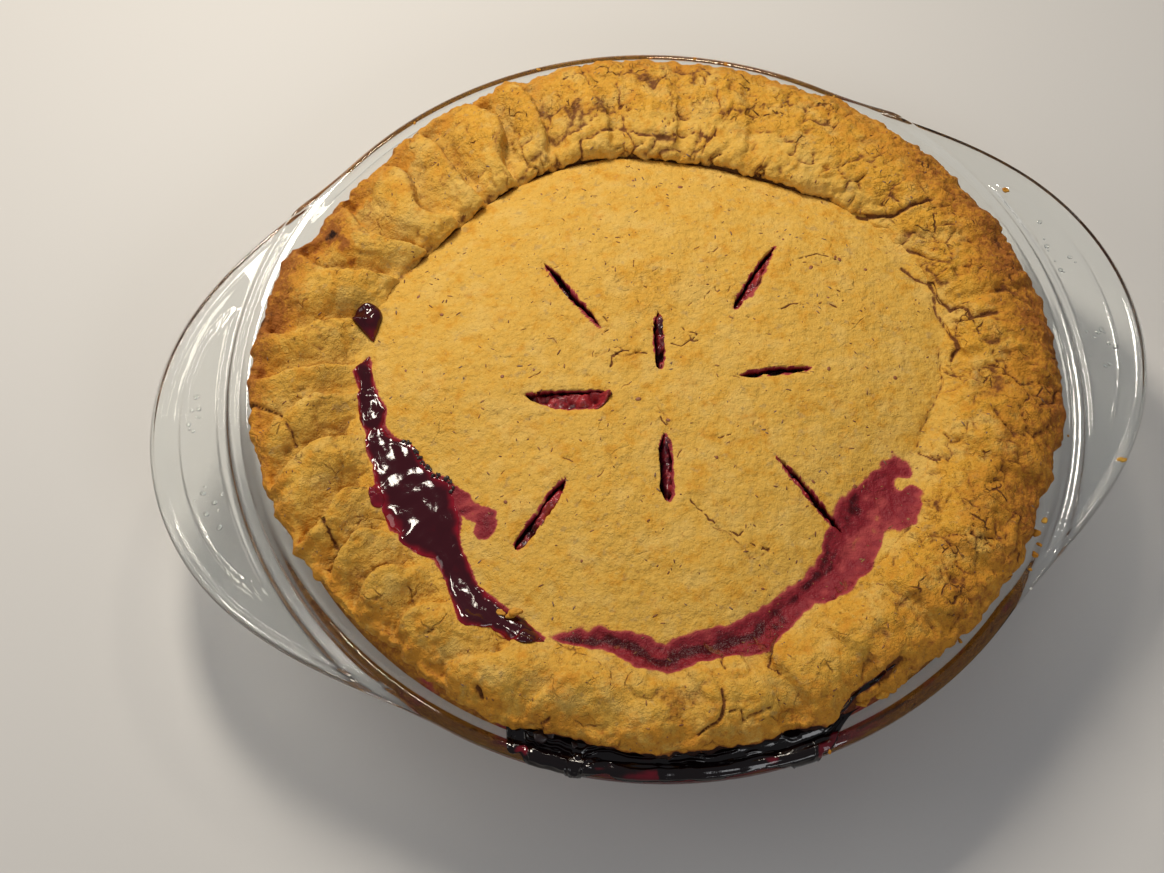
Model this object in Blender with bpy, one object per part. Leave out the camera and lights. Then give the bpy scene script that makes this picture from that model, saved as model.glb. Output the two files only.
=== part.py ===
"""Mixed berry pie, baked and kept in its own clear glass dish.

Sizes below are in millimetres and the model is in metres, +Z up. The origin is
the middle of the dish's foot, and +X runs from handle to handle.

Three pieces: the pressed glass dish with two handle tabs, the pastry (base, lid
and crimped border in one), and the berry filling, which shows at the lid's slits.
"""
import math

import bmesh
import bpy

MM = 0.001
TURN = 2 * math.pi

# Dish
DISH_HEIGHT = 44.0
FOOT_RADIUS = 90.5
FLOOR_THICKNESS = 4.4
FLOOR_RADIUS = 86.0
WALL_FOOT = (92.2, 7.0)         # radius and height where the inner wall starts
LIP = (116.6, 42.2)             # radius and height where the inner wall meets the rim
RIM_CROWN_RADIUS = 119.0
RIM_RADIUS = 121.0
RIM_EDGE_HEIGHT = 42.9
DISH_COLUMNS = 84

# Handle tabs
HANDLE_REACH = 147.5
HANDLE_ARC_RADIUS = 79.5
HANDLE_BLEND = 18.0             # width over which a tab's outline runs into the rim
RIDGE_RADIUS = 123.6
TAB_LEVEL = 42.3
TAB_UNDERSIDE = 38.8
LOOP_INNER = 127.2              # the raised crescent on each tab
LOOP_OUTER = 138.2
LOOP_HALF_ANGLE = math.radians(20.0)
LOOP_RELIEF = 0.8
ROW_GAP = 0.17                  # least spacing of the rim's rows where there is no tab

# Pastry
PASTRY_GAP = 0.5                # clearance to the glass
PASTRY_WALL = 3.6
LID_THICKNESS = 4.0
LID_RISE = 17.0                 # heights above the dish's rim
GROOVE_RISE = 7.5
CREST_RISE = 12.0
EDGE_RISE = 2.5
EDGE_RADII = (117.5, 115.5, 114.5, 113.5, 114.0, 111.8, 111.5, 116.5,
              117.0, 114.0, 112.6, 113.2, 113.8, 112.5, 115.2, 116.6)
FOLD_RADII = (84.5, 80.5, 74.5, 71.5, 73.5, 74.0, 74.5, 81.5,
              83.0, 82.0, 87.5, 88.5, 88.0, 80.5, 76.0, 80.0)
FLUTES = 38
FLUTE_DEPTH = 3.4
COLUMNS_PER_FLUTE = 3
BORDER_ROWS = (0.0, 0.12, 0.3, 0.48, 0.64, 0.8, 0.92, 1.0)
LID_ROWS = (0.95, 0.84, 0.66, 0.44, 0.22)

# Filling
FILLING_GAP = 0.3
FILLING_COLUMNS = 40

# Slits in the lid: middle x, middle y, heading in degrees, length, width
VENTS = ((-20.6, 21.0, -66.3, 29.3, 2.2),
         (33.0, 16.8, 49.0, 26.6, 2.8),
         (0.6, 0.8, 80.6, 19.2, 3.2),
         (30.4, -15.2, -3.6, 20.5, 2.6),
         (-28.2, -10.5, -13.1, 23.4, 5.4),
         (-5.9, -38.2, 80.5, 19.9, 3.8),
         (-42.0, -43.8, 43.4, 23.6, 3.6),
         (31.1, -52.3, 119.6, 26.1, 2.6))
VENT_STATIONS = 6


def clear_scene():
    for thing in list(bpy.data.objects):
        bpy.data.objects.remove(thing, do_unlink=True)


def make_material(name, colour, roughness, transmission=0.0):
    material = bpy.data.materials.new(name)
    material.use_nodes = True
    shader = material.node_tree.nodes["Principled BSDF"]
    shader.inputs["Base Color"].default_value = (*colour, 1.0)
    shader.inputs["Roughness"].default_value = roughness
    shader.inputs["Metallic"].default_value = 0.0
    shader.inputs["Transmission Weight"].default_value = transmission
    return material


def smooth_step(low, high, value):
    share = min(max((value - low) / (high - low), 0.0), 1.0)
    return share * share * (3 - 2 * share)


def mix(first, second, share):
    return first + (second - first) * share


def around(values, angle):
    """Smooth closed curve through values set at equal angles from +X."""
    count = len(values)
    place = angle / TURN % 1.0 * count
    start = int(place)
    share = place - start
    before, first, second, after = (values[(start + step) % count] for step in (-1, 0, 1, 2))
    bend = 2 * before - 5 * first + 4 * second - after
    twist = 3 * (first - second) + after - before
    return first + 0.5 * share * (second - before + share * (bend + share * twist))


def turned_solid(name, rows, columns, material, sharp_angle=40.0):
    """One closed body from rows of (radius, height), each a pair or a function of the angle.

    The first and the last row are the poles, given by their height alone.
    """
    mesh = bpy.data.meshes.new(name)
    build = bmesh.new()
    top = build.verts.new((0, 0, rows[0] * MM))
    bottom = build.verts.new((0, 0, rows[-1] * MM))
    rings = []
    for row in rows[1:-1]:
        ring = []
        for column in range(columns):
            angle = TURN * column / columns
            radius, height = row(angle) if callable(row) else row
            place = (radius * math.cos(angle) * MM, radius * math.sin(angle) * MM, height * MM)
            ring.append(build.verts.new(place))
        rings.append(ring)
    for column in range(columns):
        beside = (column + 1) % columns
        build.faces.new((top, rings[0][column], rings[0][beside]))
        build.faces.new((bottom, rings[-1][beside], rings[-1][column]))
        for upper, lower in zip(rings, rings[1:]):
            build.faces.new((upper[column], lower[column], lower[beside], upper[beside]))
    bmesh.ops.recalc_face_normals(build, faces=build.faces)
    build.to_mesh(mesh)
    build.free()
    mesh.shade_smooth()
    mesh.set_sharp_from_angle(angle=math.radians(sharp_angle))
    solid = bpy.data.objects.new(name, mesh)
    solid.data.materials.append(material)
    bpy.context.collection.objects.link(solid)
    return solid


# Dish

def from_handle(angle):
    """Angle from the middle of the nearer handle."""
    return math.asin(math.sin(angle))


def dish_reach(angle):
    """Outer radius: the round rim, with the arc of a handle tab blended into it."""
    turn = from_handle(angle)
    centre = HANDLE_REACH - HANDLE_ARC_RADIUS
    sideways = centre * math.sin(turn)
    tab = centre * math.cos(turn) + math.sqrt(HANDLE_ARC_RADIUS ** 2 - sideways ** 2)
    near = max(HANDLE_BLEND - abs(tab - RIM_RADIUS), 0.0)
    return max(tab, RIM_RADIUS) + near * near / (4 * HANDLE_BLEND)


def loop_height(radius, angle):
    """Raised crescent, which narrows to nothing at its two ends."""
    width = 1 - (from_handle(angle) / LOOP_HALF_ANGLE) ** 2
    if width <= 0:
        return 0.0
    outer = mix(LOOP_INNER, LOOP_OUTER, math.sqrt(width))
    rise = smooth_step(LOOP_INNER - 0.9, LOOP_INNER, radius)
    fall = 1 - smooth_step(outer, outer + 0.9, radius)
    return LOOP_RELIEF * rise * fall


def rim_height(radius, angle):
    """Top of the rim and, where a tab grows from it, of the ridge and the tab."""
    reach = dish_reach(angle)
    share = (radius - RIM_CROWN_RADIUS) / (RIM_RADIUS - RIM_CROWN_RADIUS)
    plain = mix(DISH_HEIGHT, RIM_EDGE_HEIGHT, min(share, 1.0) ** 2)
    tab = TAB_LEVEL + loop_height(radius, angle)
    step = smooth_step(RIDGE_RADIUS + 1.8, RIDGE_RADIUS, radius)
    bead = 0.7 * smooth_step(reach - 3.0, reach - 1.4, radius) - 0.9 * smooth_step(reach - 1.0, reach, radius)
    shaped = mix(tab, DISH_HEIGHT - 0.1, step) + bead
    return mix(plain, shaped, smooth_step(RIM_RADIUS + 1.0, RIM_RADIUS + 5.0, reach))


def rim_row(radius, rows_outside):
    """Row on the rim at this radius, kept inside the rows that follow it."""
    def place(angle):
        kept = min(radius, dish_reach(angle) - ROW_GAP * rows_outside)
        return kept, rim_height(kept, angle)
    return place


def edge_row(inset, height, least_radius):
    def place(angle):
        return max(dish_reach(angle) - inset, least_radius), height
    return place


def tab_root(angle):
    return max(mix(RIM_RADIUS, dish_reach(angle), 0.4) - 1.0, RIM_RADIUS - 0.8), TAB_UNDERSIDE


def make_dish(material):
    rim_radii = (120.4, RIDGE_RADIUS, RIDGE_RADIUS + 1.8, LOOP_INNER - 0.9, LOOP_INNER,
                 132.5, LOOP_OUTER, LOOP_OUTER + 0.9, HANDLE_REACH)
    rows = [FLOOR_THICKNESS, (FLOOR_RADIUS, FLOOR_THICKNESS), (89.6, 5.1), WALL_FOOT, LIP,
            (117.6, 43.5), (RIM_CROWN_RADIUS, DISH_HEIGHT)]
    rows += [rim_row(radius, len(rim_radii) + 1 - step) for step, radius in enumerate(rim_radii)]
    rows += [edge_row(0.0, RIM_EDGE_HEIGHT - 1.2, RIM_RADIUS),
             edge_row(0.0, TAB_UNDERSIDE + 1.2, RIM_RADIUS),
             edge_row(1.5, TAB_UNDERSIDE + 0.1, RIM_RADIUS - 0.4),
             tab_root, (119.6, 38.0), (118.0, 36.3), (95.8, 4.0), (93.5, 1.0), (FOOT_RADIUS, 0.0), 0.0]
    return turned_solid("dish", rows, DISH_COLUMNS, material)


# Pastry

def edge_radius(angle):
    ragged = 0.5 * math.sin(9 * angle + 1.0) + 0.4 * math.sin(17 * angle + 2.0)
    return min(around(EDGE_RADII, angle) + ragged, LIP[0] + 0.9)


def at_the_back(angle):
    """How far the border stands up as a thick rolled fold, 1 behind and 0 elsewhere."""
    return smooth_step(0.35, 0.8, math.sin(angle))


def flute_weight(angle):
    """Finger flutes are deep on the left and faint elsewhere."""
    return mix(0.25, 1.0, smooth_step(0.2, -0.55, math.cos(angle)))


def border_height(share, angle):
    """Height above the rim; share is 0 at the outer edge and 1 in the groove."""
    back = at_the_back(angle)
    crest_at = mix(0.58, 0.8, back)
    crest = CREST_RISE + 1.5 * back
    if share < crest_at:
        height = mix(EDGE_RISE, crest, math.sin(math.pi / 2 * share / crest_at))
    else:
        inside = (share - crest_at) / (1 - crest_at)
        height = mix(GROOVE_RISE, crest, math.cos(math.pi / 2 * inside))
    valley = (0.5 + 0.5 * math.cos(FLUTES * angle)) ** 1.5
    length = math.sin(math.pi * min(share / 0.92, 1.0)) ** 0.7
    return height - FLUTE_DEPTH * flute_weight(angle) * valley * length


def lid_height(share):
    """Height above the rim; share is 0 at the lid's middle and 1 in the groove."""
    return mix(LID_RISE, GROOVE_RISE, share ** 2.6)


def border_row(share):
    def place(angle):
        radius = mix(edge_radius(angle), around(FOLD_RADII, angle), share)
        return radius, DISH_HEIGHT + border_height(share, angle)
    return place


def lid_row(share):
    return lambda angle: (around(FOLD_RADII, angle) * share, DISH_HEIGHT + lid_height(share))


def wall_radius(height):
    """Radius of the glass's inner wall at a height."""
    return mix(WALL_FOOT[0], LIP[0], (height - WALL_FOOT[1]) / (LIP[1] - WALL_FOOT[1]))


def cavity_rows(gap):
    """Rows of the space for the filling, or of the filling itself when gap shrinks it."""
    inset = PASTRY_WALL + PASTRY_GAP + gap
    floor = FLOOR_THICKNESS + PASTRY_WALL + gap
    under_lid = DISH_HEIGHT - LID_THICKNESS - gap

    def lid_side(share):
        return lambda angle: (around(FOLD_RADII, angle) * share, under_lid + lid_height(share))
    return [under_lid + LID_RISE, *(lid_side(share) for share in (0.3, 0.6, 0.86)),
            lambda angle: (around(FOLD_RADII, angle) + 5.0 - gap, under_lid + GROOVE_RISE - 3.0),
            (wall_radius(38.0) - inset - 2.0, 38.0 - gap), (wall_radius(34.0) - inset, 34.0 - gap),
            (wall_radius(floor + 5.0) - inset, floor + 5.0), (FLOOR_RADIUS - PASTRY_WALL - gap, floor), floor]


def make_cutter(name, rows):
    cutter = turned_solid(name, rows, FILLING_COLUMNS, None)
    hide_guide(cutter)
    return cutter


def hide_guide(guide):
    guide.hide_render = True
    guide.display_type = "WIRE"


def make_vent_cutter():
    """Eight upright blades, pointed at both ends like a knife slit that has opened."""
    build = bmesh.new()
    low = (DISH_HEIGHT + GROOVE_RISE - LID_THICKNESS - 4.0) * MM
    high = (DISH_HEIGHT + LID_RISE + 4.0) * MM
    for middle_x, middle_y, heading, length, width in VENTS:
        cosine, sine = math.cos(math.radians(heading)), math.sin(math.radians(heading))
        outline = []
        for side in (1, -1):
            for station in range(VENT_STATIONS):
                along = side * mix(-1.0, 1.0, station / VENT_STATIONS)
                across = side * width / 2 * (1 - along * along)
                outline.append((along * length / 2, across))
        places = [(middle_x + along * cosine - across * sine, middle_y + along * sine + across * cosine)
                  for along, across in outline]
        floor = build.faces.new([build.verts.new((x * MM, y * MM, low)) for x, y in places])
        grown = bmesh.ops.extrude_face_region(build, geom=[floor])
        risen = [piece for piece in grown["geom"] if isinstance(piece, bmesh.types.BMVert)]
        bmesh.ops.translate(build, verts=risen, vec=(0, 0, high - low))
    bmesh.ops.recalc_face_normals(build, faces=build.faces)
    mesh = bpy.data.meshes.new("vent_cutter")
    build.to_mesh(mesh)
    build.free()
    cutter = bpy.data.objects.new("vent_cutter", mesh)
    bpy.context.collection.objects.link(cutter)
    hide_guide(cutter)
    return cutter


def cut(solid, cutter):
    boolean = solid.modifiers.new("cut_" + cutter.name, "BOOLEAN")
    boolean.operation = "DIFFERENCE"
    boolean.solver = "EXACT"
    boolean.object = cutter


def make_crust(material):
    underside = FLOOR_THICKNESS + PASTRY_GAP
    side = wall_radius(38.5) - PASTRY_GAP
    rows = [DISH_HEIGHT + LID_RISE]
    rows += [lid_row(share) for share in reversed(LID_ROWS)]
    rows += [border_row(share) for share in reversed(BORDER_ROWS)]
    rows += [(side, 38.5), (wall_radius(8.2) - PASTRY_GAP, 8.2), (FLOOR_RADIUS - 0.6, underside), underside]
    crust = turned_solid("crust", rows, FLUTES * COLUMNS_PER_FLUTE, material, sharp_angle=60.0)
    cut(crust, make_cutter("cavity_cutter", cavity_rows(0.0)))
    cut(crust, make_vent_cutter())
    return crust


def make_filling(material):
    return turned_solid("filling", cavity_rows(FILLING_GAP), FILLING_COLUMNS, material)


def main():
    clear_scene()
    glass = make_material("clear_glass", (0.92, 0.97, 0.95), 0.03, transmission=1.0)
    pastry = make_material("baked_pastry", (0.62, 0.34, 0.10), 0.75)
    berries = make_material("berry_filling", (0.08, 0.006, 0.012), 0.2)
    make_dish(glass)
    make_crust(pastry)
    make_filling(berries)


main()
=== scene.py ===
# %% [markdown]
# # A mixed berry pie in its glass dish
#
# The real thing is three simple pieces: a pressed glass dish with two handle tabs, a pastry
# case whose lid was crimped to it by hand, and cooked berries inside. What makes it look
# real is what baking did to it: flutes that slumped, folds that cracked, an edge that
# browned, and juice that boiled up through the crimp and dried there.
#
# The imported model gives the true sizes. This script keeps them and builds the fine pieces
# around them. Lengths below are in millimetres and angles in degrees, counted from the
# right handle; metres are only used where a mesh is handed to Blender.

# %% Load the frame
import itertools
import math

import bmesh
import bpy
import numpy as np
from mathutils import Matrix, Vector
from mathutils.bvhtree import BVHTree


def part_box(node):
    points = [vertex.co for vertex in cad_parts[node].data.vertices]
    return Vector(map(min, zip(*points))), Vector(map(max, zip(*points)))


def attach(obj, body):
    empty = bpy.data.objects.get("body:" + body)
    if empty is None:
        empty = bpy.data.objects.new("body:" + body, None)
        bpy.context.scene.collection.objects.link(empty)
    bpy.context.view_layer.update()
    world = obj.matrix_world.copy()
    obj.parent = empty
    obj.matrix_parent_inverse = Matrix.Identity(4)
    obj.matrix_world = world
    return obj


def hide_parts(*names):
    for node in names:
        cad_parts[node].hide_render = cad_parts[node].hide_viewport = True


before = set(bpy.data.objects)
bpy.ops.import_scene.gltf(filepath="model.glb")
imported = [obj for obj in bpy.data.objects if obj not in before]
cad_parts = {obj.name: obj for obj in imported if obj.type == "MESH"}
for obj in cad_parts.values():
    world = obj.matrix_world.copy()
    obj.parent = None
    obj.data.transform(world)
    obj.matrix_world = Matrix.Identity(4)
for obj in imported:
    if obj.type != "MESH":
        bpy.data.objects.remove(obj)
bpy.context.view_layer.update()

MM = 0.001
BODY = "root"


def highest_corner(node):
    """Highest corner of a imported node, in millimetres."""
    return np.array(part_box(node)[1]) / MM


dish_high, crust_high = highest_corner("dish"), highest_corner("crust")
REACH = dish_high[0]
RIM_RADIUS = dish_high[1]
RIM_HEIGHT = 44.0
LID_RISE = crust_high[2] - RIM_HEIGHT
print(f"dish {2 * REACH:.0f} x {2 * RIM_RADIUS:.0f} mm, lid {LID_RISE:.1f} mm above the rim")

# %% [markdown]
# ## Camera and light
#
# A camera matches a view by its focal length, its place and its turn. This one looks down
# steeply from the near side, a little to the left, as a cook does over a hob.
#
# The pie is lit mostly by one soft lamp behind and above it, with a small weak one beside
# that, weaker wide ones from the left and the front, and a pale grey world for the glass to
# mirror. The lamps behind make the far side brighter than the near side and put highlights
# on the juice. The wider a lamp is, the softer its shadows are: the wide ones keep every
# grain of pastry from casting a hard black one. The camera itself doesn't see the lamps.

# %% Camera
CAMERA_PLACE = (-64.1, -209.9, 426.2)
CAMERA_TURN = (27.25, 0.0, -11.4)
LENS = 46.39
SENSOR = 36.0


def link_object(name, data):
    """New object in the scene that shows the given data."""
    made = bpy.data.objects.new(name, data)
    bpy.context.scene.collection.objects.link(made)
    return made


camera = link_object("camera", bpy.data.cameras.new("camera"))
camera.data.lens = LENS
camera.data.sensor_width = SENSOR
camera.data.clip_start = 0.01
camera.location = [length * MM for length in CAMERA_PLACE]
camera.rotation_euler = [math.radians(turn) for turn in CAMERA_TURN]
bpy.context.scene.camera = camera
bpy.context.scene.view_settings.view_transform = "Standard"
print(f"camera {CAMERA_PLACE[2]:.0f} mm above the floor, {LENS} mm lens")


# %% Lamps and world
def add_lamp(name, place, size, watts, colour):
    """Area lamp of a given width and length that faces the middle of the pie."""
    data = bpy.data.lights.new(name, "AREA")
    data.shape = "RECTANGLE"
    data.size, data.size_y = (side * MM for side in size)
    data.energy = watts
    data.color = colour
    lamp = link_object(name, data)
    lamp.location = [length * MM for length in place]
    aim = -lamp.location.copy()
    aim.z += RIM_HEIGHT * MM
    lamp.rotation_euler = aim.to_track_quat("-Z", "Y").to_euler()
    lamp.visible_camera = False


add_lamp("lamp_behind", (-120, 430, 550), (120, 240), 3.6, (1.0, 0.92, 0.80))
add_lamp("lamp_beside", (150, 430, 560), (60, 60), 0.5, (1.0, 0.90, 0.76))
add_lamp("lamp_left", (-620, 60, 420), (300, 300), 0.7, (1.0, 0.95, 0.88))
add_lamp("lamp_front", (200, -640, 520), (260, 260), 1.0, (0.96, 0.97, 1.0))

world = bpy.data.worlds.new("studio")
world.use_nodes = True
world.node_tree.nodes["Background"].inputs["Color"].default_value = (0.92, 0.94, 1.0, 1)
world.node_tree.nodes["Background"].inputs["Strength"].default_value = 0.22
bpy.context.scene.world = world
print("lamps:", len(bpy.data.lights))

# %% [markdown]
# ## Formulas as nodes
#
# Shapes and finishes below are node trees. A tree of Math nodes is hard to read, so this
# small class lets a formula be written as one: each + - * / adds a Math node and passes on
# its output. The same class serves Geometry Nodes and shaders.


# %% Node helper
def feed(tree, socket, value):
    """Link a socket to a value that flows, or set it to a fixed one."""
    if isinstance(value, Flow):
        tree.links.new(value.socket, socket)
    elif isinstance(value, bpy.types.NodeSocket):
        tree.links.new(value, socket)
    elif value is not None:
        socket.default_value = value


def add_node(tree, kind, inputs=None, **settings):
    """Add a node, set its properties, and feed its inputs by name or by number."""
    node = tree.nodes.new(kind)
    for name, value in settings.items():
        setattr(node, name, value)
    for name, value in (inputs or {}).items():
        feed(tree, node.inputs[name], value)
    return node


class Flow:
    """A number that flows through a node tree."""

    def __init__(self, tree, socket):
        self.tree = tree
        self.socket = socket

    def apply(self, operation, *others):
        node = add_node(self.tree, "ShaderNodeMath", dict(enumerate((self, *others))), operation=operation)
        return Flow(self.tree, node.outputs[0])

    def __add__(self, other):
        return self.apply("ADD", other)

    def __sub__(self, other):
        return self.apply("SUBTRACT", other)

    def __mul__(self, other):
        return self.apply("MULTIPLY", other)

    def __truediv__(self, other):
        return self.apply("DIVIDE", other)

    def __rsub__(self, other):
        return self * -1.0 + other

    def ramp(self, low, high, start=0.0, end=1.0, smooth=True):
        """Map low..high to start..end and hold it outside."""
        node = add_node(self.tree, "ShaderNodeMapRange", {"Value": self, "From Min": low, "From Max": high,
                                                         "To Min": start, "To Max": end})
        node.interpolation_type = "SMOOTHSTEP" if smooth else "LINEAR"
        return Flow(self.tree, node.outputs[0])


# %% [markdown]
# ## The glass dish
#
# A pressed dish is a turned shape: one profile carried round an axis. Its handle tabs follow
# a rule too. Seen from above, each tab is an arc that blends into the round rim, so the
# outer part of the profile is pulled outwards by an amount that depends only on the angle.
#
# Geometry Nodes suit such a piece. A grid of points is laid over the profile (one way) and
# the angle (the other way), and every point is placed by a formula. The tree's inputs are
# the sizes a mould maker would ask for: the rim, the reach of the tabs, their arc, the
# ridge beside the rim and the raised crescent on each tab.

# %% Profile of the dish
FLOOR_Z = 4.4
WALL_FOOT = (92.2, 7.0)
LIP = (116.6, 42.2)
CROWN_RADIUS = 119.0
EDGE_HEIGHT = 42.9
TAB_UNDERSIDE = 38.8
ROUND_STEPS = 5


def arc(start, end, bulge):
    """Points from start to end on a curve that leans towards the bulge point."""
    share = np.linspace(0, 1, ROUND_STEPS + 1)[1:, None]
    start, end, bulge = map(np.array, (start, end, bulge))
    return (1 - share) ** 2 * start + 2 * share * (1 - share) * bulge + share ** 2 * end


def wall_radius(height):
    """Radius of the inner wall at a height."""
    share = (height - WALL_FOOT[1]) / (LIP[1] - WALL_FOOT[1])
    return WALL_FOOT[0] + (LIP[0] - WALL_FOOT[0]) * share


def dish_profile():
    """Rows of (radius, height, share of the tab's reach), from the floor's middle round to the foot."""
    rows = [(0, FLOOR_Z, 0), (60, FLOOR_Z, 0), (84, FLOOR_Z, 0)]
    rows += [(*point, 0) for point in arc((86.0, FLOOR_Z), WALL_FOOT, (90.6, FLOOR_Z))]
    heights = np.linspace(WALL_FOOT[1], LIP[1], 9)[1:]
    rows += [(wall_radius(height), height, 0) for height in heights]
    rows += [(*point, 0) for point in arc(LIP, (CROWN_RADIUS, RIM_HEIGHT), (117.5, RIM_HEIGHT))]
    shares = np.linspace(0, 1, 66)[1:]
    rows += [(CROWN_RADIUS + (RIM_RADIUS - CROWN_RADIUS) * share, RIM_HEIGHT, share) for share in shares]
    edge_start, edge_end = (RIM_RADIUS, EDGE_HEIGHT - 1.0), (RIM_RADIUS - 1.2, TAB_UNDERSIDE)
    rows += [(*point, 1) for point in arc(edge_start, edge_end, (RIM_RADIUS, TAB_UNDERSIDE))]
    rows += [(RIM_RADIUS - 1.4, TAB_UNDERSIDE, 0.7), (RIM_RADIUS - 1.5, TAB_UNDERSIDE, 0.35)]
    rows += [(RIM_RADIUS - 1.5, TAB_UNDERSIDE - 0.1, 0.08), (119.0, 37.7, 0), (118.0, 36.3, 0)]
    heights = np.linspace(36.3, 6.0, 9)[1:]
    rows += [(95.8 + (118.0 - 95.8) * (height - 4.0) / 32.3, height, 0) for height in heights]
    rows += [(*point, 0) for point in arc((97.2, 6.0), (90.5, 0.0), (93.6, 0.3))]
    rows += [(88.0, 0.0, 0), (50.0, 0.0, 0), (0, 0.0, 0)]
    return rows


print(f"the dish's profile has {len(dish_profile())} rows")


# %% Tree for the dish
def group_input(tree, name, kind, default=None):
    """A named input of a Geometry Nodes tree."""
    socket = tree.interface.new_socket(name=name, in_out="INPUT", socket_type=kind)
    if default is not None:
        socket.default_value = default
    return socket


def new_geometry_tree(name, inputs):
    """Empty tree with a geometry input and output and the named inputs; returns what builds it."""
    tree = bpy.data.node_groups.new(name, "GeometryNodeTree")
    group_input(tree, "Geometry", "NodeSocketGeometry")
    for label, (kind, default) in inputs.items():
        group_input(tree, label, kind, default)
    tree.interface.new_socket(name="Geometry", in_out="OUTPUT", socket_type="NodeSocketGeometry")
    entry = tree.nodes.new("NodeGroupInput")
    leave = tree.nodes.new("NodeGroupOutput")
    return tree, entry, leave


def end_tree(tree, leave, geometry, material):
    """Make a tree's result real, smooth and of one material, and pass it out."""
    real = add_node(tree, "GeometryNodeRealizeInstances", {"Geometry": geometry})
    smooth = add_node(tree, "GeometryNodeSetShadeSmooth", {"Geometry": real.outputs[0]})
    painted = add_node(tree, "GeometryNodeSetMaterial", {"Geometry": smooth.outputs[0], "Material": material})
    feed(tree, leave.inputs["Geometry"], painted.outputs[0])


NUMBER = "NodeSocketFloat"


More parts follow.
